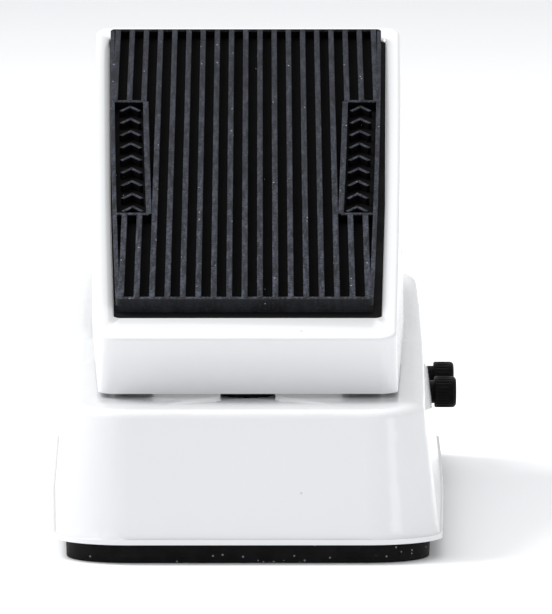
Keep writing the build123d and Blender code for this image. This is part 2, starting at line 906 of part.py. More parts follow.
guide_back_y = rack_back_y - guide_fit
guide_foot_y = guide_back_y - guide_wall
guide_half = rack_width / 2 + guide_fit
guide_span = bracket_x + guide_half + guide_wall
guide_reach = guide_wall + guide_fit + rack_depth - guide_setback
with BuildPart() as rack_guide:
    with BuildSketch(Plane.XY.offset(pinion_z - guide_height / 2)):
        with Locations((bracket_x, guide_foot_y)):
            Rectangle(guide_span, guide_reach, align=(Align.MAX, Align.MIN))
        with Locations((0, guide_back_y + guide_reach / 2)):
            Rectangle(2 * guide_half, guide_reach, mode=Mode.SUBTRACT)
    extrude(amount=guide_height)
rack_guide.part.label = "rack_guide"
export_step(rack_guide.part, "parts/rack_guide.step")

spring_reach = bracket_x + guide_half
with BuildPart() as guide_spring:
    with BuildSketch(Plane.XY.offset(pinion_z - spring_height / 2)):
        with Locations((bracket_x, guide_foot_y)):
            Rectangle(spring_reach, spring_thickness, align=(Align.MAX, Align.MAX))
            Rectangle(spring_thickness, spring_tab, align=(Align.MAX, Align.MAX))
    extrude(amount=spring_height)
guide_spring.part.label = "guide_spring"
export_step(guide_spring.part, "parts/guide_spring.step")


# ---------------------------------------------------------------- stops
with BuildPart() as heel_bumper:
    extrude(bumper_outline(heel_bumper_y, bumper_radius), amount=treadle_gap - heel_bumper_gap)
    extrude(bumper_outline(heel_bumper_y, bumper_radius), amount=-bumper_seat_depth)
heel_bumper.part.label = "heel_bumper"
export_step(heel_bumper.part, "parts/heel_bumper.step")

with BuildPart() as toe_bumper:
    extrude(bumper_outline(toe_bumper_y, bumper_radius), amount=treadle_gap - toe_bumper_gap)
    extrude(bumper_outline(toe_bumper_y, bumper_radius), amount=-bumper_seat_depth)
toe_bumper.part.label = "toe_bumper"
export_step(toe_bumper.part, "parts/toe_bumper.step")

# ---------------------------------------------------------------- base plate, screws, base pad
with BuildPart() as base_plate:
    add(casing_section(lower_edge, plate_ledge + plate_clearance))
    extrude(amount=plate_thickness)
    with BuildSketch(Plane.XY.offset(lower_edge)):
        with Locations(boss_places()):
            Circle(base_screw_radius + screw_clearance)
    extrude(amount=plate_thickness, mode=Mode.SUBTRACT)
base_plate.part.label = "base_plate"
export_step(base_plate.part, "parts/base_plate.step")

with BuildPart() as base_screws:
    with BuildSketch(Plane.XY.offset(lower_edge)):
        with Locations(boss_places()):
            Circle(base_screw_radius)
    extrude(amount=plate_thickness + base_screw_length - screw_clearance)
    with BuildSketch(Plane.XY.offset(lower_edge)):
        with Locations(boss_places()):
            Circle(screw_head_radius)
    extrude(amount=-screw_head_height)
base_screws.part.label = "base_screws"
export_step(base_screws.part, "parts/base_screws.step")

with BuildPart() as base_pad:
    add(casing_section(lower_edge, pad_inset))
    extrude(amount=-base_thickness)
    with BuildSketch(Plane.XY):
        with Locations(boss_places()):
            Circle(pad_hole_radius)
    extrude(amount=base_thickness, mode=Mode.SUBTRACT)
base_pad.part.label = "base_pad"
export_step(base_pad.part, "parts/base_pad.step")

# ---------------------------------------------------------------- side controls
pot_front_x = control_post_x + control_pot_depth
pot_bore_x = pot_front_x - control_pot_depth / 2
shaft_end_x = knob_end_x - 2 * knob_edge
control_middle_y = (knob_places[0][0] + knob_places[1][0]) / 2
control_board_width = knob_pitch + 2 * control_board_margin
control_screw_places = [(y, control_screw_z) for y in control_post_places]

with BuildPart() as control_board:
    with BuildSketch(Plane.YZ.offset(control_board_x)):
        with Locations((control_middle_y, control_screw_z)):
            Rectangle(control_board_width, control_board_height)
        with Locations(control_screw_places):
            Circle(small_screw_radius + screw_clearance, mode=Mode.SUBTRACT)
    extrude(amount=control_board_thickness)
control_board.part.label = "control_board"
export_step(control_board.part, "parts/control_board.step")

with BuildPart() as control_board_screws:
    with BuildSketch(Plane.YZ.offset(control_board_x)):
        with Locations(control_screw_places):
            Circle(small_screw_radius)
    extrude(amount=control_board_thickness + small_screw_length - screw_clearance)
    with BuildSketch(Plane.YZ.offset(control_board_x)):
        with Locations(control_screw_places):
            Circle(small_head_radius)
    extrude(amount=-small_head_height)
control_board_screws.part.label = "control_board_screws"
export_step(control_board_screws.part, "parts/control_board_screws.step")

for name, centre, knob_x in zip(("gain", "level"), knob_places, knob_faces):
    with BuildPart() as control_pot:
        with BuildSketch(Plane.YZ.offset(control_post_x)):
            with Locations(centre):
                Rectangle(control_pot_size, control_pot_size)
        extrude(amount=control_pot_depth)
        extrude(
            disc(pot_bore_x, centre, control_shaft_radius + rod_fit),
            amount=control_pot_depth,
            mode=Mode.SUBTRACT,
        )
    control_pot.part.label = name + "_pot"
    export_step(control_pot.part, "parts/" + name + "_pot.step")

    shaft_start_x = pot_bore_x + rod_fit
    hub_x = knob_x - knob_hub_length
    with BuildPart() as control_shaft:
        extrude(
            disc(shaft_start_x, centre, control_shaft_radius),
            amount=shaft_end_x - shaft_start_x,
        )
    control_shaft.part.label = name + "_shaft"
    export_step(control_shaft.part, "parts/" + name + "_shaft.step")

    with BuildPart() as knob:
        extrude(disc(knob_x, centre, knob_radius), amount=knob_end_x - knob_x)
        fillet(knob.faces().sort_by(Axis.X)[-1].edges(), knob_edge)
        with BuildSketch(Plane.YZ.offset(knob_x)):
            with Locations(centre):
                with PolarLocations(knob_radius, knob_grip_count):
                    Circle(knob_grip_radius)
        extrude(amount=knob_end_x - knob_x - knob_edge, mode=Mode.SUBTRACT)
        extrude(disc(hub_x, centre, knob_hub_radius), amount=knob_hub_length)
        extrude(
            disc(hub_x, centre, control_shaft_radius),
            amount=shaft_end_x - hub_x,
            mode=Mode.SUBTRACT,
        )
    knob.part.label = name + "_knob"
    export_step(knob.part, "parts/" + name + "_knob.step")

# ---------------------------------------------------------------- sockets
wall_through = casing_wall * cos(toe_lean_angle)
inner_wall = toe_plane.offset(-wall_through)
thread_mouth = inner_wall.offset(jack_thread_length)
jack_bore_length = jack_thread_length + jack_body_depth - jack_back_wall

for name, jack_place in zip(("input", "output"), jack_places):
    with BuildPart() as jack:
        with BuildSketch(inner_wall):
            with Locations(jack_place):
                Rectangle(jack_body_size, jack_body_size)
        extrude(amount=-jack_body_depth)
        with BuildSketch(inner_wall):
            with Locations(jack_place):
                Circle(jack_thread_radius)
        extrude(amount=jack_thread_length)
        with BuildSketch(thread_mouth):
            with Locations(jack_place):
                Circle(jack_bore_radius)
        extrude(amount=-jack_bore_length, mode=Mode.SUBTRACT)
    jack.part.label = name + "_jack"
    export_step(jack.part, "parts/" + name + "_jack.step")

with BuildPart() as jack_washers:
    with BuildSketch(toe_plane):
        with Locations(jack_places):
            Circle(jack_washer_radius)
            Circle(jack_thread_radius, mode=Mode.SUBTRACT)
    extrude(amount=jack_washer_height)
jack_washers.part.label = "jack_washers"
export_step(jack_washers.part, "parts/jack_washers.step")

with BuildPart() as jack_nuts:
    with BuildSketch(toe_plane.offset(jack_washer_height)):
        with Locations(jack_places):
            RegularPolygon(jack_nut_radius, 6)
            Circle(jack_thread_radius, mode=Mode.SUBTRACT)
    extrude(amount=jack_nut_height)
jack_nuts.part.label = "jack_nuts"
export_step(jack_nuts.part, "parts/jack_nuts.step")

with BuildPart() as power_inlet:
    with BuildSketch(inner_wall):
        Rectangle(inlet_width, inlet_height)
    extrude(amount=-inlet_depth)
    with BuildSketch(inner_wall):
        Circle(inlet_thread_radius)
    extrude(amount=wall_through)
    with BuildSketch(toe_plane):
        Circle(inlet_flange_radius)
    extrude(amount=inlet_flange)
    with BuildSketch(toe_plane):
        Circle(inlet_bore_radius)
        Circle(inlet_pin_radius, mode=Mode.SUBTRACT)
    extrude(amount=-inlet_bore_depth, mode=Mode.SUBTRACT)
    with BuildSketch(toe_plane):
        Circle(inlet_bore_radius)
    extrude(amount=inlet_flange, mode=Mode.SUBTRACT)
power_inlet.part.label = "power_inlet"
export_step(power_inlet.part, "parts/power_inlet.step")

# ---------------------------------------------------------------- circuit board
resistor_z = board_height - 1.4 * resistor_radius
resistor_row = 4 * resistor_radius
resistor_places = [(x, board_y + k * resistor_row) for x in (-2, 18) for k in (-3, -2, -1, 3, 4)]
capacitor_places = [(-14, board_y + k * 10) for k in (-1, 0, 1)] + [(9, board_y - 14)]
chip_place = (8, board_y + 4)

with BuildPart() as circuit_board:
    with BuildSketch(Plane.XY.offset(board_height)):
        with Locations((0, board_y)):
            Rectangle(board_width, board_length)
        with Locations(board_holes):
            Circle(small_screw_radius + screw_clearance, mode=Mode.SUBTRACT)
    extrude(amount=board_thickness)
circuit_board.part.label = "circuit_board"
export_step(circuit_board.part, "parts/circuit_board.step")

with BuildPart() as board_screws:
    with BuildSketch(Plane.XY.offset(board_height)):
        with Locations(board_holes):
            Circle(small_screw_radius)
    extrude(amount=board_thickness + small_screw_length - screw_clearance)
    with BuildSketch(Plane.XY.offset(board_height)):
        with Locations(board_holes):
            Circle(small_head_radius)
    extrude(amount=-small_head_height)
board_screws.part.label = "board_screws"
export_step(board_screws.part, "parts/board_screws.step")

with BuildPart() as capacitors:
    with BuildSketch(Plane.XY.offset(board_height)):
        with Locations(capacitor_places):
            Circle(capacitor_radius)
    extrude(amount=-capacitor_length)
capacitors.part.label = "capacitors"
export_step(capacitors.part, "parts/capacitors.step")

with BuildPart() as op_amp_chip:
    with BuildSketch(Plane.XY.offset(board_height)):
        with Locations(chip_place):
            Rectangle(chip_length, chip_width)
    extrude(amount=-chip_height)
op_amp_chip.part.label = "op_amp_chip"
export_step(op_amp_chip.part, "parts/op_amp_chip.step")

lead_reach = resistor_length / 2 - 2 * lead_radius
with BuildPart() as resistors:
    for resistor_x, resistor_y in resistor_places:
        resistor_end = (resistor_y, resistor_z)
        extrude(
            disc(resistor_x - resistor_length / 2, resistor_end, resistor_radius),
            amount=resistor_length,
        )
        with BuildSketch(Plane.XY.offset(board_height)):
            with Locations((resistor_x - lead_reach, resistor_y), (resistor_x + lead_reach, resistor_y)):
                Circle(lead_radius)
        extrude(amount=resistor_z - board_height)
resistors.part.label = "resistors"
export_step(resistors.part, "parts/resistors.step")

# ---------------------------------------------------------------- battery
battery_floor = plate_top + holder_wall
battery_middle_z = battery_floor + battery_height / 2
snap_thickness = stud_length + snap_plate
cell_length = battery_length - snap_thickness
cell_y = battery_y + snap_thickness / 2
cell_end = Plane(
    origin=(battery_x, cell_y - cell_length / 2, battery_middle_z),
    x_dir=(1, 0, 0),
    z_dir=(0, -1, 0),
)
stud_places = [(-stud_spacing / 2, 0), (stud_spacing / 2, 0)]

with BuildPart() as battery_holder:
    with BuildSketch(Plane.XY.offset(plate_top)):
        with Locations((battery_x, battery_y)):
            Rectangle(battery_width + 2 * holder_wall, battery_length + 2 * holder_wall)
    extrude(amount=battery_height / 2)
    with BuildSketch(Plane.XY.offset(battery_floor)):
        with Locations((battery_x, battery_y)):
            Rectangle(battery_width, battery_length)
    extrude(amount=battery_height, mode=Mode.SUBTRACT)
battery_holder.part.label = "battery_holder"
export_step(battery_holder.part, "parts/battery_holder.step")

with BuildPart() as battery:
    with BuildSketch(Plane.XY.offset(battery_floor)):
        with Locations((battery_x, cell_y)):
            Rectangle(battery_width, cell_length)
    extrude(amount=battery_height)
    with BuildSketch(cell_end):
        with Locations(stud_places):
            Circle(stud_radius)
    extrude(amount=stud_length)
battery.part.label = "battery"
export_step(battery.part, "parts/battery.step")

with BuildPart() as battery_clip:
    with BuildSketch(cell_end):
        with Locations(stud_places):
            Circle(snap_cup_radius)
            Circle(stud_radius, mode=Mode.SUBTRACT)
    extrude(amount=stud_length)
    with BuildSketch(cell_end.offset(stud_length)):
        Rectangle(snap_width, snap_height)
    extrude(amount=snap_plate)
battery_clip.part.label = "battery_clip"
export_step(battery_clip.part, "parts/battery_clip.step")

# ---------------------------------------------------------------- signal wires
jack_back = inner_wall.offset(-jack_body_depth)
inlet_back = inner_wall.offset(-inlet_depth)
clip_face = cell_end.offset(snap_thickness)
wire_low_z = board_height - 2 * wire_bend - wire_radius
wire_end_y = board_y + board_length / 2 - wire_lead


def wire_run(plane, start_x, start_y, lane_x, end_x):
    """Corners of a wire: off a face, down to a lane beside the works, up to the board."""
    start = plane.from_local_coords(Vector(start_x, start_y, 0))
    turn = plane.from_local_coords(Vector(start_x, start_y, wire_lead))
    return [
        start,
        turn,
        (lane_x, turn.Y - 2 * wire_lead, wire_low_z),
        (lane_x, wire_end_y + 2 * wire_lead, wire_low_z),
        (end_x, wire_end_y, wire_low_z),
        (end_x, wire_end_y, board_height),
    ]


back_facing = Plane(origin=jack_back.origin, x_dir=(-1, 0, 0), z_dir=-toe_plane.z_dir)
inlet_facing = Plane(origin=inlet_back.origin, x_dir=(-1, 0, 0), z_dir=-toe_plane.z_dir)
input_lane_x = battery_x - battery_width / 2 - holder_wall - 3 * wire_radius
output_lane_x = control_board_x - 3 * small_head_height
inlet_lane_x = output_lane_x - 5 * wire_radius
wire_runs = [
    wire_run(back_facing, jack_spacing / 2, 0, input_lane_x, -17),
    wire_run(back_facing, -jack_spacing / 2, 0, output_lane_x, 17),
    wire_run(inlet_facing, 0, 0, inlet_lane_x, 13),
    [
        clip_face.from_local_coords(Vector(0, snap_height / 2 - 2 * wire_radius, 0)),
        clip_face.from_local_coords(Vector(0, snap_height / 2 - 2 * wire_radius, wire_lead)),
        (battery_x, -2 * wire_lead, wire_low_z),
        (-12, wire_end_y, wire_low_z),
        (-12, wire_end_y, board_height),
    ],
    [
        (terminal_x, pinion_y, terminal_end_z),
        (terminal_x, pinion_y, wire_low_z),
        (terminal_x, wire_end_y, wire_low_z),
        (terminal_x, wire_end_y, board_height),
    ],
]

with BuildPart() as signal_wires:
    for corners in wire_runs:
        with BuildLine() as run:
            FilletPolyline(*corners, radius=wire_bend)
        with BuildSketch(Plane(origin=run.line @ 0, z_dir=run.line % 0)):
            Circle(wire_radius)
        sweep()
signal_wires.part.label = "signal_wires"
export_step(signal_wires.part, "parts/signal_wires.step")

# ---------------------------------------------------------------- numbers for the record
rack_ratio = rack_travel / 1000 / treadle_travel
print("pivot", round(pivot_y, 3), round(pivot_z, 3))
print("treadle travel rad", treadle_travel, "deg", degrees(treadle_travel))
print("rack at", round(rack_y, 3), "travel", rack_travel, "ratio m/rad", rack_ratio)
print("pinion", round(pinion_y, 3), round(pinion_z, 3), "ratio", rack_ratio * 1000 / pitch_radius)
print("knobs", knob_places, "x", knob_faces, round(knob_end_x, 3))
for jack_place in jack_places:
    mouth = thread_mouth.from_local_coords(Vector(jack_place[0], 0, 0))
    print("jack mouth", mouth, "length", jack_bore_length)
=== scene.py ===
"""Volume pedal: finishes the enamelled shells, the ribbed tread, the knobs and the works.

Metres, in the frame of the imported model: +X is the player's right, +Y points to the toe end
and +Z is up. The treadle rests heel down.
"""

import json
import math

import bmesh
import bpy
from bpy.props import FloatProperty, FloatVectorProperty, IntProperty, PointerProperty
from mathutils import Matrix, Vector


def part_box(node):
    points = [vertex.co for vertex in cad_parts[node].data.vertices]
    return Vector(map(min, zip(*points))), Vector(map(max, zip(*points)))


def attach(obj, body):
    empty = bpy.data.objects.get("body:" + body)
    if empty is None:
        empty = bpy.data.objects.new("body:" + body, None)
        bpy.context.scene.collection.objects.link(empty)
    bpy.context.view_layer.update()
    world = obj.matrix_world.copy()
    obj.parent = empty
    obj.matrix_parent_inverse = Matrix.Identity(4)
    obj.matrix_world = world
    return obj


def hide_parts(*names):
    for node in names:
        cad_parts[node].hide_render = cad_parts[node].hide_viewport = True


bl_info = {
    "name": "Volume Pedal",
    "version": (1, 0, 0),
    "blender": (4, 5, 0),
    "location": "View3D > Sidebar > Volume Pedal",
    "description": "Finishes a volume pedal's shells, tread, knobs and works on a packed frame",
    "category": "Object",
}

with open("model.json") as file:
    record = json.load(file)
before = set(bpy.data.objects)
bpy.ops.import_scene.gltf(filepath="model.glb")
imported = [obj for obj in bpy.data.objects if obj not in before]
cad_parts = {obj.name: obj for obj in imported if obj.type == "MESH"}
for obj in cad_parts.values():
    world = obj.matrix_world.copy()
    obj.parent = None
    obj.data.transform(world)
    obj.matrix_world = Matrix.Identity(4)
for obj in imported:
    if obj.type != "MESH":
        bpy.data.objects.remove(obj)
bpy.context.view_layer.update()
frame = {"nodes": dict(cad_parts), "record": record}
record = frame["record"]
body_of_node = {
    node: body for body, nodes in record["behaviour"]["bodies"].items() for node in nodes
}
slot_of_node = {entry["node"]: entry["material_slot"] for entry in record["subparts"]}


# ---------------------------------------------------------------- settings
class TreadSettings(bpy.types.PropertyGroup):
    """Sizes of the ribbed rubber tread."""

    slope: FloatProperty(
        name="Slope", description="Tilt of the treadle at rest",
        default=math.radians(18), unit="ROTATION",
    )
    heel_half: FloatProperty(
        name="Heel half width", description="Half of the width at the heel",
        default=0.0313, unit="LENGTH",
    )
    heel_shift: FloatProperty(
        name="Heel shift", description="How far the heel end sits off the middle",
        default=-0.0003, unit="LENGTH",
    )
    bulge: FloatProperty(
        name="Side bulge", description="How far the sides bow out",
        default=0.00045, unit="LENGTH",
    )
    floor: FloatProperty(
        name="Floor thickness", description="Rubber under the grooves",
        default=0.0014, unit="LENGTH",
    )
    rib_pitch: FloatProperty(
        name="Rib pitch", description="From one rib to the next",
        default=0.00375, unit="LENGTH",
    )
    rib_width: FloatProperty(
        name="Rib width", description="Width of a rib's top",
        default=0.00145, unit="LENGTH",
    )
    rib_count: IntProperty(name="Ribs", description="Ribs across the toe end", default=19)
    border: FloatProperty(
        name="Border", description="Width of the solid sides",
        default=0.0011, unit="LENGTH",
    )
    heel_bar: FloatProperty(
        name="Heel bar", description="Width of the bar across the heel end",
        default=0.0016, unit="LENGTH",
    )
    toe_bar: FloatProperty(
        name="Toe bar", description="Width of the bar across the toe end",
        default=0.0012, unit="LENGTH",
    )
    window_start: FloatProperty(
        name="Window start", description="Heel end of the side windows",
        default=0.0545, unit="LENGTH",
    )
    window_end: FloatProperty(
        name="Window end", description="Toe end of the side windows",
        default=0.1312, unit="LENGTH",
    )
    window_reach: FloatProperty(
        name="Window reach", description="From the side to the inner bar",
        default=0.0091, unit="LENGTH",
    )
    marks: IntProperty(name="Marks", description="Raised chevrons in each window", default=9)


class KnobSettings(bpy.types.PropertyGroup):
    """Sizes of the side knobs."""

    flutes: IntProperty(name="Flutes", description="Grooves round each knob", default=26)
    flute_depth: FloatProperty(
        name="Flute depth", description="Depth of a groove at its middle",
        default=0.00022, unit="LENGTH",
    )
    hub_radius: FloatProperty(
        name="Hub radius", description="Radius of the neck next to the wall",
        default=0.003, unit="LENGTH",
    )
    hub_length: FloatProperty(
        name="Hub length", description="Length of the neck next to the wall",
        default=0.0024, unit="LENGTH",
    )


class FinishSettings(bpy.types.PropertyGroup):
    """Colours and gloss of the finishes that show most."""

    enamel: FloatVectorProperty(
        name="Enamel", description="Colour of the shells",
        default=(0.70, 0.705, 0.715), subtype="COLOR",
    )
    enamel_roughness: FloatProperty(
        name="Enamel roughness", description="Roughness of the shells",
        default=0.22, subtype="FACTOR",
    )
    worn_rubber: FloatVectorProperty(
        name="Worn rubber", description="Rubbed tops of the ribs",
        default=(0.025, 0.027, 0.036), subtype="COLOR",
    )
    black_rubber: FloatVectorProperty(
        name="Black rubber", description="Rubber out of reach of a shoe",
        default=(0.003, 0.003, 0.0033), subtype="COLOR",
    )
    knob: FloatVectorProperty(
        name="Knob", description="Colour of the side knobs",
        default=(0.0015, 0.0015, 0.002), subtype="COLOR",
    )


class StageSettings(bpy.types.PropertyGroup):
    """Light, floor and camera."""

    sky: FloatProperty(
        name="Sky", description="Strength of the white surroundings",
        default=0.83,
    )
    key: FloatProperty(
        name="Key", description="Power of the large soft key light",
        default=29.0, unit="POWER",
    )
    distance: FloatProperty(
        name="Distance", description="From the camera to the pedal's middle",
        default=1.9258, unit="LENGTH",
    )
    camera_height: FloatProperty(
        name="Camera height", description="Over the floor",
        default=0.2189, unit="LENGTH",
    )
    tilt: FloatProperty(
        name="Tilt", description="How far the camera looks down",
        default=math.radians(5), unit="ROTATION",
    )
    pan: FloatProperty(
        name="Pan", description="How far the camera turns to the right",
        default=math.radians(0.213), unit="ROTATION",
    )
    lens: FloatProperty(name="Lens", description="Focal length", default=445.6, unit="CAMERA")


# ---------------------------------------------------------------- shader groups
def open_group(name, inputs, outputs):
    """Empty shader group with named sockets, as (tree, its inputs' node, its outputs' node)."""
    tree = bpy.data.node_groups.new(name, "ShaderNodeTree")
    for socket_name, kind, value in inputs:
        socket = tree.interface.new_socket(name=socket_name, in_out="INPUT", socket_type=kind)
        if value is not None:
            socket.default_value = value
    for socket_name, kind in outputs:
        tree.interface.new_socket(name=socket_name, in_out="OUTPUT", socket_type=kind)
    return tree, tree.nodes.new("NodeGroupInput"), tree.nodes.new("NodeGroupOutput")


def add_node(tree, kind, **values):
    """New node with some of its settings or unlinked inputs set."""
    node = tree.nodes.new(kind)
    for key, value in values.items():
        if key in node.inputs:
            node.inputs[key].default_value = value
        else:
            setattr(node, key, value)
    return node


def mix_colours(tree, share, first, second):
    """Colour that runs from a first to a second one as a share grows."""
    factor, colour_a, colour_b, result = 0, 6, 7, 2
    mix = add_node(tree, "ShaderNodeMix", data_type="RGBA")
    tree.links.new(share, mix.inputs[factor])
    tree.links.new(first, mix.inputs[colour_a])
    tree.links.new(second, mix.inputs[colour_b])
    return mix.outputs[result]


def mottle_group():
    """Two tones that drift into each other, as wear and handling leave them."""
    tree, entry, leave = open_group(
        "Mottle",
        [
            ("Vector", "NodeSocketVector", None),
            ("Scale", "NodeSocketFloat", 60.0),
            ("Low", "NodeSocketFloat", 0.35),
            ("High", "NodeSocketFloat", 0.65),
            ("Dark", "NodeSocketColor", (0.01, 0.01, 0.01, 1)),
            ("Light", "NodeSocketColor", (0.06, 0.06, 0.07, 1)),
        ],
        [("Color", "NodeSocketColor"), ("Mask", "NodeSocketFloat")],
    )
    noise = add_node(tree, "ShaderNodeTexNoise", Detail=6.0, Roughness=0.62)
    ramp = add_node(tree, "ShaderNodeMapRange", interpolation_type="SMOOTHSTEP")
    link = tree.links.new
    link(entry.outputs["Vector"], noise.inputs["Vector"])
    link(entry.outputs["Scale"], noise.inputs["Scale"])
    link(noise.outputs["Fac"], ramp.inputs["Value"])
    link(entry.outputs["Low"], ramp.inputs["From Min"])
    link(entry.outputs["High"], ramp.inputs["From Max"])
    tone = mix_colours(
        tree, ramp.outputs["Result"], entry.outputs["Dark"], entry.outputs["Light"]
    )
    link(tone, leave.inputs["Color"])
    link(ramp.outputs["Result"], leave.inputs["Mask"])
    return tree


def dust_group():
    """Round specks of dust in a share of the cells of a pattern."""
    tree, entry, leave = open_group(
        "Dust",
        [
            ("Vector", "NodeSocketVector", None),
            ("Scale", "NodeSocketFloat", 500.0),
            ("Size", "NodeSocketFloat", 0.2),
            ("Share", "NodeSocketFloat", 0.1),
            ("Base", "NodeSocketColor", (0.01, 0.01, 0.01, 1)),
            ("Speck", "NodeSocketColor", (0.4, 0.4, 0.42, 1)),
        ],
        [("Color", "NodeSocketColor")],
    )
    cells = add_node(tree, "ShaderNodeTexVoronoi", Randomness=1.0)
    near = add_node(tree, "ShaderNodeMath", operation="LESS_THAN")
    split = add_node(tree, "ShaderNodeSeparateColor")
    chosen = add_node(tree, "ShaderNodeMath", operation="LESS_THAN")
    both = add_node(tree, "ShaderNodeMath", operation="MULTIPLY")
    link = tree.links.new
    link(entry.outputs["Vector"], cells.inputs["Vector"])
    link(entry.outputs["Scale"], cells.inputs["Scale"])
    link(cells.outputs["Distance"], near.inputs[0])
    link(entry.outputs["Size"], near.inputs[1])
    link(cells.outputs["Color"], split.inputs["Color"])
    link(split.outputs["Red"], chosen.inputs[0])
    link(entry.outputs["Share"], chosen.inputs[1])
    link(near.outputs[0], both.inputs[0])
    link(chosen.outputs[0], both.inputs[1])
    dusted = mix_colours(tree, both.outputs[0], entry.outputs["Base"], entry.outputs["Speck"])
    link(dusted, leave.inputs["Color"])
    return tree


def scuff_group():
    """Rubbed streaks and crumbs that lighten a raised surface, worn most at one end."""
    tree, entry, leave = open_group(
        "Scuff",
        [
            ("Vector", "NodeSocketVector", None),
            ("Base", "NodeSocketColor", (0.01, 0.01, 0.01, 1)),
            ("Rubbed", "NodeSocketColor", (0.08, 0.08, 0.09, 1)),
            ("Streaks", "NodeSocketFloat", 0.6),
            ("Start", "NodeSocketFloat", 0.1),
            ("End", "NodeSocketFloat", -0.1),
        ],
        [("Color", "NodeSocketColor"), ("Mask", "NodeSocketFloat")],
    )
    mapping = add_node(tree, "ShaderNodeMapping")
    mapping.inputs["Scale"].default_value = (1.0, 0.16, 0.16)
    streaks = add_node(tree, "ShaderNodeTexNoise", Scale=900.0, Detail=5.0, Roughness=0.7)
    crumbs = add_node(tree, "ShaderNodeTexNoise", Scale=1500.0, Detail=3.0, Roughness=0.6)
    along = add_node(tree, "ShaderNodeSeparateXYZ")
    worn_end = add_node(tree, "ShaderNodeMapRange", interpolation_type="SMOOTHSTEP")
    worn_end.inputs["To Min"].default_value = 0.45
    both = add_node(tree, "ShaderNodeMath", operation="MULTIPLY")
    contrast = add_node(tree, "ShaderNodeMapRange", interpolation_type="SMOOTHSTEP")
    contrast.inputs["From Min"].default_value = 0.2
    contrast.inputs["From Max"].default_value = 0.36
    strength = add_node(tree, "ShaderNodeMath", operation="MULTIPLY")
    share = add_node(tree, "ShaderNodeMath", operation="MULTIPLY")
    link = tree.links.new
    link(entry.outputs["Vector"], mapping.inputs["Vector"])
    link(mapping.outputs["Vector"], streaks.inputs["Vector"])
    link(entry.outputs["Vector"], crumbs.inputs["Vector"])
    link(entry.outputs["Vector"], along.inputs["Vector"])
    link(along.outputs["Y"], worn_end.inputs["Value"])
    link(entry.outputs["Start"], worn_end.inputs["From Min"])
    link(entry.outputs["End"], worn_end.inputs["From Max"])
    link(streaks.outputs["Fac"], both.inputs[0])
    link(crumbs.outputs["Fac"], both.inputs[1])
    link(both.outputs[0], contrast.inputs["Value"])
    link(contrast.outputs["Result"], strength.inputs[0])
    link(entry.outputs["Streaks"], strength.inputs[1])
    link(strength.outputs[0], share.inputs[0])
    link(worn_end.outputs["Result"], share.inputs[1])
    worn = mix_colours(tree, share.outputs[0], entry.outputs["Base"], entry.outputs["Rubbed"])
    link(worn, leave.inputs["Color"])
    link(share.outputs[0], leave.inputs["Mask"])
    return tree


def grain_group():
    """Fine surface relief as a normal."""
    tree, entry, leave = open_group(
        "Grain",
        [
            ("Vector", "NodeSocketVector", None),
            ("Scale", "NodeSocketFloat", 900.0),
            ("Strength", "NodeSocketFloat", 0.2),
            ("Depth", "NodeSocketFloat", 0.0002),
        ],
        [("Normal", "NodeSocketVector")],
    )
    noise = add_node(tree, "ShaderNodeTexNoise", Detail=4.0, Roughness=0.55)
    bump = add_node(tree, "ShaderNodeBump")
    link = tree.links.new
    link(entry.outputs["Vector"], noise.inputs["Vector"])
    link(entry.outputs["Scale"], noise.inputs["Scale"])
    link(noise.outputs["Fac"], bump.inputs["Height"])
    link(entry.outputs["Strength"], bump.inputs["Strength"])
    link(entry.outputs["Depth"], bump.inputs["Distance"])
    link(bump.outputs["Normal"], leave.inputs["Normal"])
    return tree


groups = {}


def place_group(tree, name, vector, **values):
    """One of the shared groups placed in a material, fed with a vector and its own values."""
    node = tree.nodes.new("ShaderNodeGroup")
    node.node_tree = groups[name]
    for key, value in values.items():
        node.inputs[key].default_value = value
    tree.links.new(vector, node.inputs["Vector"])
    return node


def rgba(colour):
    """Colour with full alpha."""
    return (*colour, 1.0)


def scaled(colour, factor):
    """Colour made darker, or lighter by a factor over 1."""
    return [channel * factor for channel in colour]


def start_material(name, metallic=0.0, stretch=None, **principled):
    """Material with a Principled shader, as (material, tree, shader, object coordinates)."""
    material = bpy.data.materials.new(name)
    material.use_nodes = True
    tree = material.node_tree
    shader = tree.nodes["Principled BSDF"]
    shader.inputs["Metallic"].default_value = metallic
    for key, value in principled.items():
        shader.inputs[key.replace("_", " ")].default_value = value
    place = tree.nodes.new("ShaderNodeTexCoord").outputs["Object"]
    if stretch:
        mapping = tree.nodes.new("ShaderNodeMapping")
        mapping.inputs["Scale"].default_value = stretch
        tree.links.new(place, mapping.inputs["Vector"])
        place = mapping.outputs["Vector"]
    return material, tree, shader, place


def vary_roughness(tree, shader, mask, low, high):
    """Roughness that follows a mask."""
    span = add_node(tree, "ShaderNodeMapRange")
    span.inputs["To Min"].default_value = low
    span.inputs["To Max"].default_value = high
    tree.links.new(mask, span.inputs["Value"])
    tree.links.new(span.outputs["Result"], shader.inputs["Roughness"])


def enamel_material(name, colour, roughness):
    """Thick baked enamel: two close tones, a faint orange peel and a few dust nibs."""
    material, tree, shader, place = start_material(
        name, IOR=1.5, Coat_Weight=0.35, Coat_Roughness=0.04
    )
    tones = place_group(
        tree, "Mottle", place, Scale=14.0, Low=0.3, High=0.7,
        Dark=rgba(scaled(colour, 0.985)), Light=rgba(colour),
    )
    nibs = place_group(
        tree, "Dust", place, Scale=160.0, Size=0.05, Share=0.08,
        Speck=rgba(scaled(colour, 0.72)),
    )
    peel = place_group(tree, "Grain", place, Scale=170.0, Strength=0.035, Depth=0.0004)
    tree.links.new(tones.outputs["Color"], nibs.inputs["Base"])
    tree.links.new(nibs.outputs["Color"], shader.inputs["Base Color"])
    tree.links.new(peel.outputs["Normal"], shader.inputs["Normal"])
    vary_roughness(tree, shader, tones.outputs["Mask"], roughness * 0.9, roughness * 1.15)
    return material


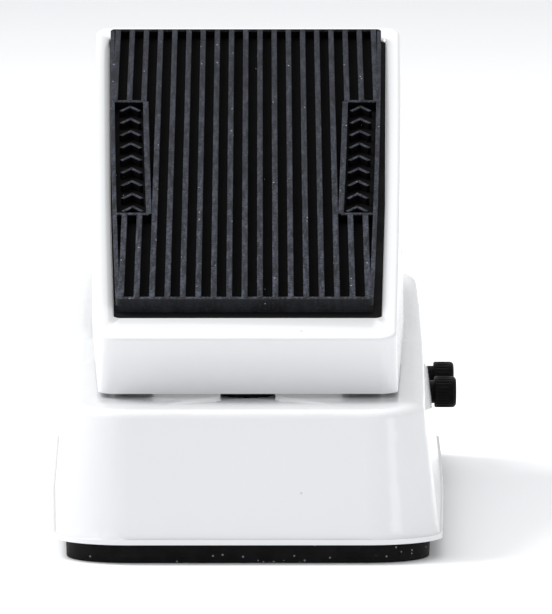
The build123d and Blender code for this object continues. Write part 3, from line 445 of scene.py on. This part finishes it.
def rubber_material(
    name, dark, light, scale, roughness, dust, speck=(0.35, 0.36, 0.38), shine=0.1, rubbed=None
):
    """Moulded rubber: two tones, pale dust as (scale, size, share), a fine tooth and wear."""
    material, tree, shader, place = start_material(name, IOR=1.48)
    shader.inputs["Specular IOR Level"].default_value = shine
    tones = place_group(
        tree, "Mottle", place, Scale=scale, Low=0.36, High=0.66,
        Dark=rgba(dark), Light=rgba(light),
    )
    dust_scale, dust_size, dust_share = dust
    specks = place_group(
        tree, "Dust", place, Scale=dust_scale, Size=dust_size, Share=dust_share,
        Speck=rgba(speck),
    )
    tooth = place_group(tree, "Grain", place, Scale=2200.0, Strength=0.5, Depth=0.00012)
    colour = tones.outputs["Color"]
    if rubbed:
        scuff = place_group(tree, "Scuff", place, Rubbed=rgba(rubbed), Streaks=0.9)
        tree.links.new(colour, scuff.inputs["Base"])
        colour = scuff.outputs["Color"]
    tree.links.new(colour, specks.inputs["Base"])
    tree.links.new(specks.outputs["Color"], shader.inputs["Base Color"])
    tree.links.new(tooth.outputs["Normal"], shader.inputs["Normal"])
    vary_roughness(tree, shader, tones.outputs["Mask"], roughness, roughness + 0.12)
    return material


def metal_material(name, colour, roughness, stretch=(1, 1, 1), brush=600.0):
    """Machined metal with a brushed or turned grain."""
    material, tree, shader, place = start_material(name, metallic=1.0, stretch=stretch)
    tones = place_group(
        tree, "Mottle", place, Scale=brush, Low=0.3, High=0.7,
        Dark=rgba(scaled(colour, 0.86)), Light=rgba(colour),
    )
    grain = place_group(tree, "Grain", place, Scale=brush * 2, Strength=0.12, Depth=0.0001)
    tree.links.new(tones.outputs["Color"], shader.inputs["Base Color"])
    tree.links.new(grain.outputs["Normal"], shader.inputs["Normal"])
    vary_roughness(tree, shader, tones.outputs["Mask"], roughness, roughness + 0.1)
    return material


def plastic_material(name, colour, roughness, coat=0.0, shine=0.5):
    """Moulded plastic with a faint texture."""
    material, tree, shader, place = start_material(name, IOR=1.49, Coat_Weight=coat)
    shader.inputs["Specular IOR Level"].default_value = shine
    tones = place_group(
        tree, "Mottle", place, Scale=120.0, Low=0.3, High=0.7,
        Dark=rgba(scaled(colour, 0.8)), Light=rgba(colour),
    )
    grain = place_group(tree, "Grain", place, Scale=1500.0, Strength=0.15, Depth=0.0001)
    tree.links.new(tones.outputs["Color"], shader.inputs["Base Color"])
    tree.links.new(grain.outputs["Normal"], shader.inputs["Normal"])
    vary_roughness(tree, shader, tones.outputs["Mask"], roughness, roughness + 0.1)
    return material


materials = {}


def make_materials(finish):
    """Every finish of the pedal, under its slot's name where it has one."""
    groups.update(
        Mottle=mottle_group(), Dust=dust_group(), Scuff=scuff_group(), Grain=grain_group()
    )
    black = finish.black_rubber
    worn = finish.worn_rubber
    materials.update(
        white_enamel=enamel_material("white_enamel", finish.enamel, finish.enamel_roughness),
        tread_worn=rubber_material(
            "tread_worn", scaled(worn, 0.22), scaled(worn, 0.75), 130.0, 0.6,
            (480.0, 0.10, 0.22), rubbed=scaled(worn, 2.6),
        ),
        # Groove floors and rib sides: the black rubber made darker and duller, painted shade in
        # the grooves
        tread_black=rubber_material(
            "tread_black", scaled(black, 0.35), scaled(black, 0.9), 60.0, 0.8,
            (480.0, 0.07, 0.05), shine=0.04,
        ),
        # Heel face: a darker copy of the worn rubber, painted shade on the face towards the heel
        tread_end=rubber_material(
            "tread_end", scaled(worn, 0.12), scaled(worn, 0.5), 90.0, 0.5,
            (480.0, 0.08, 0.10), shine=0.3, rubbed=scaled(worn, 0.6),
        ),
        black_rubber=rubber_material(
            "black_rubber", scaled(black, 0.9), scaled(black, 2.4), 260.0, 0.65,
            (820.0, 0.20, 0.16), (0.20, 0.20, 0.205),
        ),
        # Black film under the tread; its black also stands in as painted shade in the gaps round
        # the tread
        adhesive_film=rubber_material(
            "adhesive_film", black, black, 60.0, 0.7, (500.0, 0.05, 0.02)
        ),
        knob_plastic=plastic_material("knob_plastic", finish.knob, 0.3, shine=0.08),
        steel=metal_material("steel", (0.56, 0.56, 0.57), 0.30, (0.1, 1, 1)),
        zinc_screws=metal_material("zinc_screws", (0.66, 0.66, 0.62), 0.34),
        nylon=plastic_material("nylon", (0.78, 0.76, 0.69), 0.42),
        pot_metal=metal_material("pot_metal", (0.6, 0.6, 0.6), 0.36),
        black_plastic=plastic_material("black_plastic", (0.014, 0.014, 0.015), 0.4),
        nickel=metal_material("nickel", (0.78, 0.76, 0.72), 0.16),
        board_green=plastic_material("board_green", (0.02, 0.16, 0.07), 0.3, 0.3),
        capacitor_sleeve=plastic_material("capacitor_sleeve", (0.02, 0.04, 0.15), 0.28, 0.2),
        resistor_coat=plastic_material("resistor_coat", (0.52, 0.38, 0.22), 0.45),
        battery_case=metal_material("battery_case", (0.14, 0.15, 0.17), 0.3),
        wire_jacket=plastic_material("wire_jacket", (0.4, 0.02, 0.02), 0.4),
    )


# ---------------------------------------------------------------- pieces
WELD = 1e-6  # corners closer than this are one corner
FLAT = math.radians(0.4)  # faces closer to one plane than this are one face
HARD_EDGE = math.radians(32)  # edges sharper than this stay creased on metal and plastic
RUBBER_EDGE = math.radians(50)  # the same on rubber
KNOB_EDGE = math.radians(40)  # the same on the fluted knobs


def finish_piece(piece, node, *piece_materials):
    """Materials for a piece that stands for a CAD node and moves as that node does."""
    for material in piece_materials:
        piece.data.materials.append(material)
    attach(piece, body_of_node[node])
    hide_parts(node)


def object_from(name, shape):
    """Object at the origin that holds a finished bmesh."""
    mesh = bpy.data.meshes.new(name)
    shape.to_mesh(mesh)
    shape.free()
    piece = bpy.data.objects.new(name, mesh)
    bpy.context.scene.collection.objects.link(piece)
    return piece


def shade(piece, sharp_angle):
    """Smooth shading that keeps edges sharper than an angle, with even flats."""
    mesh = piece.data
    mesh.shade_smooth()
    mesh.set_sharp_from_angle(angle=sharp_angle)
    even = piece.modifiers.new("Even flats", "WEIGHTED_NORMAL")
    even.keep_sharp = True
    even.weight = 80


def bevel(shape, edges, width, segments):
    """Round of a given width on some edges."""
    bmesh.ops.bevel(
        shape, geom=edges, offset=width, offset_type="OFFSET", affect="EDGES",
        segments=segments, profile=0.5, material=-1, clamp_overlap=True,
    )


def merged_copy(node, sharp_angle=HARD_EDGE, edge=0.0):
    """Welded copy of a CAD node with smooth rounds and, if asked, softened hard edges."""
    shape = bmesh.new()
    shape.from_mesh(frame["nodes"][node].data)
    bmesh.ops.remove_doubles(shape, verts=shape.verts, dist=WELD)
    bmesh.ops.dissolve_limit(shape, angle_limit=FLAT, verts=shape.verts, edges=shape.edges)
    if edge > 0:
        hard = [e for e in shape.edges if e.is_manifold and e.calc_face_angle(0) > sharp_angle]
        bevel(shape, hard, edge, 2)
    bmesh.ops.triangulate(shape, faces=[f for f in shape.faces if len(f.verts) > 4])
    piece = object_from(node + "_finish", shape)
    shade(piece, sharp_angle)
    return piece


def bar(low, high, cuts=0, turn=0.0):
    """Box between two corners in a bmesh of its own, cut across its length if it must bend."""
    low = Vector(low)
    high = Vector(high)
    place = Matrix.Translation((low + high) / 2) @ Matrix.Rotation(turn, 4, "Z")
    part = bmesh.new()
    bmesh.ops.create_cube(part, size=1, matrix=place @ Matrix.Diagonal((*(high - low), 1)))
    for index in range(cuts):
        along = low.y + (high.y - low.y) * (index + 1) / (cuts + 1)
        bmesh.ops.bisect_plane(
            part, geom=part.verts[:] + part.edges[:] + part.faces[:], plane_co=(0, along, 0),
            plane_no=(0, 1, 0),
        )
    return part


def round_top(part, width, segments=2):
    """Rounds the edges of a part's top."""
    crease = 0.5
    part.normal_update()
    top = max(v.co.z for v in part.verts)
    edges = [
        e for e in part.edges
        if e.calc_face_angle(0) > crease and all(abs(v.co.z - top) < WELD for v in e.verts)
    ]
    bevel(part, edges, width, segments)


def add_part(shape, part):
    """Moves a finished part's mesh into a shape."""
    mesh = bpy.data.meshes.new("part")
    part.to_mesh(mesh)
    part.free()
    shape.from_mesh(mesh)
    bpy.data.meshes.remove(mesh)


# The tread's parts overlap, and their faces are kept this far out of one another's planes
STEP = 0.0001
SIDE_CUTS = 15  # cuts that let a long bar follow a bowed side
SIDE_ROUND = 0.0002
RIB_ROUND = 0.00022


class TreadShape:
    """Place and outline of the tread, read from the CAD node that it stands for."""

    def __init__(self, sizes):
        low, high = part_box("tread_pad")
        span = high - low
        sine = math.sin(sizes.slope)
        cosine = math.cos(sizes.slope)
        self.thickness = (span.z * cosine - span.y * sine) / (cosine**2 - sine**2)
        self.length = (span.y * cosine - span.z * sine) / (cosine**2 - sine**2)
        self.heel_half = sizes.heel_half
        self.toe_half = span.x / 2
        self.bulge = sizes.bulge
        corner = Vector(((low.x + high.x) / 2, low.y + self.thickness * sine, low.z))
        self.place = Matrix.Translation(corner) @ Matrix.Rotation(sizes.slope, 4, "X")

    def half(self, along):
        """Half width at a distance from the heel end."""
        share = along / self.length
        bow = 4 * self.bulge * share * (1 - share)
        return self.heel_half + (self.toe_half - self.heel_half) * share + bow


def widen(tread, part):
    """Spreads a part that spans -1 to 1 over the tread's width."""
    for vert in part.verts:
        vert.co.x *= tread.half(vert.co.y)


def follow_side(tread, part, side, inset):
    """Moves a straight bar out to a tapered, bowed side of the tread."""
    for vert in part.verts:
        vert.co.x += side * (tread.half(vert.co.y) - inset)


def tread_floor(shape, tread, sizes):
    """Sheet of rubber under the ribs, with the thin lip at its heel end."""
    lip_length, lip_height, lip_reach = 0.001, 0.0004, 0.0002
    sheet = bar((-1, lip_reach, 0), (1, tread.length, sizes.floor), cuts=SIDE_CUTS)
    widen(tread, sheet)
    add_part(shape, sheet)
    lip = bar((-1, 0, 0), (1, lip_length, lip_height))
    widen(tread, lip)
    add_part(shape, lip)


def tread_borders(shape, tread, sizes):
    """Solid sides, and a bar with rounded corners across each end."""
    side_start, corner_round, bar_round = 0.0013, 0.0012, 0.0004
    low = sizes.floor * 0.5
    half = sizes.border / 2
    toe = tread.length - sizes.toe_bar
    for side in (-1, 1):
        part = bar(
            (-half, side_start, STEP * 2), (half, toe, tread.thickness - STEP), cuts=SIDE_CUTS
        )
        follow_side(tread, part, side, half)
        round_top(part, SIDE_ROUND)
        add_part(shape, part)
    for start, end, outer in ((STEP, sizes.heel_bar, STEP), (toe, tread.length, tread.length)):
        part = bar((-1, start, STEP * 3), (1, end, tread.thickness - STEP * 1.5))
        widen(tread, part)
        corners = [e for e in part.edges if all(abs(v.co.y - outer) < WELD for v in e.verts)]
        corners = [e for e in corners if abs(e.verts[0].co.z - e.verts[1].co.z) > low]
        bevel(part, corners, corner_round, 5)
        round_top(part, bar_round, 3)
        add_part(shape, part)


def rib_stretches(tread, sizes, x):
    """Where along the tread a rib at x runs, past the slanting side and round a window."""
    clearance, shortest = 0.0003, 0.004
    taper = (tread.toe_half - tread.heel_half) / tread.length
    reach = abs(x) + sizes.rib_width / 2 - tread.heel_half + clearance
    start = max(sizes.heel_bar * 0.6, reach / taper)
    if abs(x) < tread.half(sizes.window_start) - sizes.window_reach:
        return [(start, tread.length)]
    stretches = [(start, sizes.window_start), (sizes.window_end, tread.length)]
    return [(low, high) for low, high in stretches if high - low > shortest]


def tread_ribs(shape, tread, sizes):
    """Straight ribs along the tread."""
    half = sizes.rib_width / 2
    for index in range(sizes.rib_count):
        x = (index - (sizes.rib_count - 1) / 2) * sizes.rib_pitch
        for start, end in rib_stretches(tread, sizes, x):
            end = min(end, tread.length - sizes.toe_bar / 2)
            part = bar((x - half, start, sizes.floor * 0.5), (x + half, end, tread.thickness))
            round_top(part, RIB_ROUND)
            add_part(shape, part)


def tread_windows(shape, tread, sizes):
    """Framed window on each side with a column of raised chevrons."""
    half = sizes.rib_width / 2
    low = sizes.floor * 0.5
    top = tread.thickness - STEP
    mark_top = tread.thickness - 0.0005
    pitch = (sizes.window_end - sizes.window_start) / sizes.marks
    for side in (-1, 1):
        part = bar((-half, sizes.window_start, low), (half, sizes.window_end, top), cuts=5)
        follow_side(tread, part, side, sizes.window_reach)
        round_top(part, SIDE_ROUND)
        add_part(shape, part)
        for along in (sizes.window_start, sizes.window_end):
            outer = side * (tread.half(along) - sizes.border / 2)
            inner = side * (tread.half(along) - sizes.window_reach)
            near, far = sorted((inner, outer))
            part = bar((near, along - half, low), (far, along + half, top))
            round_top(part, SIDE_ROUND)
            add_part(shape, part)
        for index in range(sizes.marks):
            along = sizes.window_start + (index + 0.5) * pitch
            middle = side * (tread.half(along) - (sizes.window_reach + sizes.border) / 2)
            for lean in (-1, 1):
                add_part(shape, arm(middle, along, lean, pitch, low, mark_top))


def arm(x, y, lean, pitch, low, high):
    """One arm of a raised arrowhead that points to the toe end."""
    half, arm_round, angle = 0.0005, 0.00012, math.radians(38)
    reach = pitch * 0.26
    x += lean * pitch * 0.13
    part = bar((x - half, y - reach, low), (x + half, y + reach, high), turn=lean * angle)
    round_top(part, arm_round, 1)
    return part


def mark_wear_and_shade(shape, sizes):
    """Tells the tread's rubbed tops and its heel face from the rest; the rest, mostly groove
    floors and rib sides, takes a darker, duller rubber as painted shade, and the heel face a
    darker copy of the worn rubber, also painted shade.
    """
    rubbed, untouched_painted_shade, heel_face_painted_shade = range(3)
    facing = 0.3
    shape.normal_update()
    for face in shape.faces:
        centre = face.calc_center_median()
        # Faces that are not raised tops take the darker rubber: painted shade
        raised = face.normal.z > facing and centre.z > sizes.floor * 1.2
        face.material_index = rubbed if raised else untouched_painted_shade
        # The heel face takes a darker copy of the worn rubber: painted shade
        if face.normal.y < -facing and centre.y < sizes.heel_bar:
            face.material_index = heel_face_painted_shade


class PEDAL_OT_shells(bpy.types.Operator):
    """Enamelled casing and treadle"""

    bl_idname = "pedal.shells"
    bl_label = "Enamelled shells"

    def execute(self, context):
        enamel = materials["white_enamel"]
        for node in ("casing", "treadle"):
            finish_piece(merged_copy(node), node, enamel)
        return {"FINISHED"}


class PEDAL_OT_tread(bpy.types.Operator):
    """Ribbed rubber tread and the film that holds it"""

    bl_idname = "pedal.tread"
    bl_label = "Ribbed tread"

    def execute(self, context):
        sizes = context.scene.pedal_tread
        tread = TreadShape(sizes)
        shape = bmesh.new()
        tread_floor(shape, tread, sizes)
        tread_borders(shape, tread, sizes)
        tread_ribs(shape, tread, sizes)
        tread_windows(shape, tread, sizes)
        mark_wear_and_shade(shape, sizes)
        for vert in shape.verts:
            vert.co.x += sizes.heel_shift * (1 - vert.co.y / tread.length)
        bmesh.ops.transform(shape, matrix=tread.place, verts=shape.verts)
        piece = object_from("tread_ribs", shape)
        shade(piece, RUBBER_EDGE)
        finishes = [materials[name] for name in ("tread_worn", "tread_black", "tread_end")]
        finish_piece(piece, "tread_pad", *finishes)
        # The film's black also paints the shade in the gaps round the tread
        finish_piece(merged_copy("tread_adhesive"), "tread_adhesive", materials["adhesive_film"])
        return {"FINISHED"}


class PEDAL_OT_rubber(bpy.types.Operator):
    """Base pad and the two stops"""

    bl_idname = "pedal.rubber"
    bl_label = "Base pad and stops"

    def execute(self, context):
        rounds = {"base_pad": 0.0008, "heel_bumper": 0.0005, "toe_bumper": 0.0005}
        for node, edge in rounds.items():
            piece = merged_copy(node, RUBBER_EDGE, edge)
            finish_piece(piece, node, materials["black_rubber"])
        return {"FINISHED"}


def turned(profile, segments):
    """Profile of (radius, height) pairs spun round the Z axis."""
    shape = bmesh.new()
    points = [shape.verts.new((radius, 0, height)) for radius, height in profile]
    lines = [shape.edges.new(pair) for pair in zip(points, points[1:])]
    bmesh.ops.spin(
        shape, geom=points + lines, axis=(0, 0, 1), cent=(0, 0, 0), angle=math.tau,
        steps=segments, use_merge=True, use_duplicate=False,
    )
    bmesh.ops.remove_doubles(shape, verts=shape.verts, dist=WELD)
    bmesh.ops.recalc_face_normals(shape, faces=shape.faces)
    return shape


def quarter(radius, height, size, steps=7):
    """Quarter round from a side up on to an end, as (radius, height) pairs."""
    turns = [index / steps * math.pi / 2 for index in range(steps + 1)]
    return [
        (radius - size + size * math.cos(turn), height - size + size * math.sin(turn))
        for turn in turns
    ]


def knob_profile(radius, length, sizes):
    """Side view of a knob from its hub to its end, as (radius, height) pairs."""
    chamfer, rows = 0.0003, 8
    crown = length * 0.2
    fluted = length * 0.68
    dish_edge, dish_foot, dish_depth = radius * 0.62, radius * 0.58, 0.0002
    hub = sizes.hub_radius
    side = [(hub, -sizes.hub_length), (hub, 0), (radius * 0.93, 0), (radius, chamfer)]
    side += [(radius, chamfer + index * fluted / rows) for index in range(1, rows + 1)]
    profile = [(0, -sizes.hub_length), *side, *quarter(radius, length, crown)]
    profile += [(dish_edge, length), (dish_foot, length - dish_depth)]
    return [*profile, (0, length - dish_depth * 1.25)]


def flute(shape, radius, length, sizes):
    """Presses grooves into the side of a knob, deepest at their middle."""
    first, reach = 0.06, 0.72
    for vert in shape.verts:
        share = (vert.co.z / length - first) / reach
        if 0 < share < 1 and vert.co.xy.length > radius * 0.95:
            depth = sizes.flute_depth * math.sin(share * math.pi) ** 0.4
            turn = sizes.flutes * math.atan2(vert.co.y, vert.co.x)
            vert.co.xy *= 1 - depth * (1 - math.cos(turn)) / 2 / radius


def knob_pointer(radius, length):
    """Raised line on a knob's end."""
    half, low, high = 0.0003, length - 0.0005, length - 0.00005
    pointer = bar((radius * 0.3, -half, low), (radius * 0.75, half, high))
    round_top(pointer, 0.00008, 1)
    return pointer


def knob_shape(node, sizes):
    """Fluted knob with a rounded crown, a dished end and a pointer, on the CAD knob's axis."""
    steps_per_flute = 6
    low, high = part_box(node)
    low.x += sizes.hub_length
    radius = (high.y - low.y) / 2
    length = high.x - low.x
    shape = turned(knob_profile(radius, length, sizes), sizes.flutes * steps_per_flute)
    flute(shape, radius, length, sizes)
    add_part(shape, knob_pointer(radius, length))
    centre = Vector((low.x, (low.y + high.y) / 2, (low.z + high.z) / 2))
    stand = Matrix.Translation(centre) @ Matrix.Rotation(math.radians(90), 4, "Y")
    bmesh.ops.transform(shape, matrix=stand, verts=shape.verts)
    return shape


class PEDAL_OT_knobs(bpy.types.Operator):
    """Two knobs on the right wall"""

    bl_idname = "pedal.knobs"
    bl_label = "Side knobs"

    def execute(self, context):
        for node in ("gain_knob", "level_knob"):
            piece = object_from(node + "_fluted", knob_shape(node, context.scene.pedal_knobs))
            shade(piece, KNOB_EDGE)
            finish_piece(piece, node, materials["knob_plastic"])
        return {"FINISHED"}


def finish_nodes(*nodes, **softened):
    """Welded copies of CAD nodes in their slots' finishes, some with a width for hard edges."""
    for node in nodes:
        finish_piece(merged_copy(node), node, materials[slot_of_node[node]])
    for node, edge in softened.items():
        finish_piece(merged_copy(node, edge=edge), node, materials[slot_of_node[node]])


class PEDAL_OT_pivot(bpy.types.Operator):
    """Rod that the treadle turns on, with its bushings and clips"""

    bl_idname = "pedal.pivot"
    bl_label = "Pivot"

    def execute(self, context):
        finish_nodes("pivot_bushings", "pivot_clips", pivot_rod=0.0003)
        return {"FINISHED"}


class PEDAL_OT_gears(bpy.types.Operator):
    """Rack, its pin and guide, and the pinion that it turns"""

    bl_idname = "pedal.gears"
    bl_label = "Rack and pinion"

    def execute(self, context):
        finish_nodes("guide_spring", "pinion", "rack_guide", "rack_pin", rack=0.0001)
        return {"FINISHED"}


class PEDAL_OT_sweep(bpy.types.Operator):
    """Volume potentiometer and its bracket"""

    bl_idname = "pedal.sweep"
    bl_label = "Volume potentiometer"

    def execute(self, context):
        finish_nodes("pot_bracket", "sweep_pot_body", "sweep_pot_nut", "sweep_pot_shaft")
        return {"FINISHED"}


class PEDAL_OT_controls(bpy.types.Operator):
    """Potentiometers and shafts behind the side knobs"""

    bl_idname = "pedal.controls"
    bl_label = "Side potentiometers"

    def execute(self, context):
        finish_nodes("gain_pot", "gain_shaft", "level_pot", "level_shaft")
        return {"FINISHED"}


class PEDAL_OT_boards(bpy.types.Operator):
    """Circuit boards with what is soldered to them"""

    bl_idname = "pedal.boards"
    bl_label = "Circuit boards"

    def execute(self, context):
        finish_nodes(
            "capacitors", "circuit_board", "control_board", "op_amp_chip", "resistors",
            "signal_wires",
        )
        return {"FINISHED"}


class PEDAL_OT_sockets(bpy.types.Operator):
    """Sockets on the toe wall with their nuts and washers"""

    bl_idname = "pedal.sockets"
    bl_label = "Sockets"

    def execute(self, context):
        finish_nodes(
            "input_jack", "output_jack", jack_nuts=0.0002, jack_washers=0.00015,
            power_inlet=0.0002,
        )
        return {"FINISHED"}


class PEDAL_OT_battery(bpy.types.Operator):
    """Battery with its clip and holder"""

    bl_idname = "pedal.battery"
    bl_label = "Battery"

    def execute(self, context):
        finish_nodes("battery", "battery_clip", "battery_holder")
        return {"FINISHED"}


class PEDAL_OT_base(bpy.types.Operator):
    """Bottom cover and the screws"""

    bl_idname = "pedal.base"
    bl_label = "Bottom cover and screws"

    def execute(self, context):
        finish_nodes(
            "base_plate", "board_screws", "bracket_screws", "control_board_screws",
            base_screws=0.0003,
        )
        return {"FINISHED"}


class PEDAL_OT_stage(bpy.types.Operator):
    """Pale floor, soft light and camera"""

    bl_idname = "pedal.stage"
    bl_label = "Stage"

    def execute(self, context):
        stage = context.scene.pedal_stage
        add_floor()
        add_sky(context.scene, stage.sky)
        add_lights(stage.key)
        add_camera(context.scene, stage)
        context.scene.view_settings.view_transform = "Standard"
        return {"FINISHED"}


def add_floor():
    """Large pale floor, just under the base pad."""
    half_size, gap = 9, 0.0001
    shape = bmesh.new()
    bmesh.ops.create_grid(shape, x_segments=1, y_segments=1, size=half_size)
    bmesh.ops.translate(shape, verts=shape.verts, vec=(0, 0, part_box("base_pad")[0].z - gap))
    floor = object_from("floor", shape)
    material, tree, shader, place = start_material("pale_floor", Roughness=0.6)
    shader.inputs["Specular IOR Level"].default_value = 0.2
    tones = place_group(
        tree, "Mottle", place, Scale=2.0, Low=0.2, High=0.8,
        Dark=(0.955, 0.955, 0.965, 1), Light=(0.97, 0.97, 0.975, 1),
    )
    tree.links.new(tones.outputs["Color"], shader.inputs["Base Color"])
    floor.data.materials.append(material)


def add_sky(scene, strength):
    """White surroundings."""
    world = bpy.data.worlds.new("white_room")
    world.use_nodes = True
    white = world.node_tree.nodes["Background"]
    white.inputs["Color"].default_value = (0.97, 0.985, 1.0, 1)
    white.inputs["Strength"].default_value = strength
    scene.world = world


def add_area(name, place, target, size, power):
    """Softbox of a width and height that faces a point."""
    light = bpy.data.lights.new(name, "AREA")
    light.shape = "RECTANGLE"
    light.size, light.size_y = size
    light.energy = power
    lamp = bpy.data.objects.new(name, light)
    lamp.location = place
    aim = Vector(target) - Vector(place)
    lamp.rotation_euler = aim.to_track_quat("-Z", "Y").to_euler()
    bpy.context.scene.collection.objects.link(lamp)


def add_lights(power):
    """Key from the upper left, a weaker fill from above and a strip for the right corner."""
    top_share, strip_share = 0.3, 0.055
    add_area("key", (-1.1, 0.25, 1.5), (0, 0, 0.03), (0.9, 0.9), power)
    add_area("top", (0.1, 0.5, 2.2), (0, 0, 0), (1.8, 1.8), power * top_share)
    add_area("strip", (1.1, -1.0, 0.35), (0, -0.1, 0.03), (0.34, 0.9), power * strip_share)


def add_camera(scene, stage):
    """Camera behind the heel end, looking along the pedal and a little down."""
    data = bpy.data.cameras.new("camera")
    data.lens = stage.lens
    data.sensor_width = 36
    data.clip_end = 60
    camera = bpy.data.objects.new("camera", data)
    camera.location = (0, -stage.distance, stage.camera_height)
    camera.rotation_euler = (math.radians(90) - stage.tilt, 0, -stage.pan)
    scene.collection.objects.link(camera)
    scene.camera = camera


class PEDAL_PT_panel(bpy.types.Panel):
    """Steps that finish the pedal"""

    bl_label = "Volume Pedal"
    bl_idname = "PEDAL_PT_panel"
    bl_space_type = "VIEW_3D"
    bl_region_type = "UI"
    bl_category = "Volume Pedal"

    def draw(self, context):
        for group in settings:
            box = self.layout.box()
            for name in settings[group].__annotations__:
                box.prop(getattr(context.scene, group), name)
        for step in steps:
            self.layout.operator(step.bl_idname)


steps = (
    PEDAL_OT_shells,
    PEDAL_OT_tread,
    PEDAL_OT_rubber,
    PEDAL_OT_knobs,
    PEDAL_OT_pivot,
    PEDAL_OT_gears,
    PEDAL_OT_sweep,
    PEDAL_OT_controls,
    PEDAL_OT_boards,
    PEDAL_OT_sockets,
    PEDAL_OT_battery,
    PEDAL_OT_base,
    PEDAL_OT_stage,
)
settings = {
    "pedal_tread": TreadSettings,
    "pedal_knobs": KnobSettings,
    "pedal_finish": FinishSettings,
    "pedal_stage": StageSettings,
}
classes = (*settings.values(), *steps, PEDAL_PT_panel)


def register():
    for entry in classes:
        bpy.utils.register_class(entry)
    for group, kind in settings.items():
        setattr(bpy.types.Scene, group, PointerProperty(type=kind))


def unregister():
    for group in settings:
        delattr(bpy.types.Scene, group)
    for entry in reversed(classes):
        bpy.utils.unregister_class(entry)


def main():
    """Runs every step in order."""
    register()
    make_materials(bpy.context.scene.pedal_finish)
    bpy.ops.pedal.shells()
    bpy.ops.pedal.tread()
    bpy.ops.pedal.rubber()
    bpy.ops.pedal.knobs()
    bpy.ops.pedal.pivot()
    bpy.ops.pedal.gears()
    bpy.ops.pedal.sweep()
    bpy.ops.pedal.controls()
    bpy.ops.pedal.boards()
    bpy.ops.pedal.sockets()
    bpy.ops.pedal.battery()
    bpy.ops.pedal.base()
    bpy.ops.pedal.stage()


if __name__ == "__main__":
    main()
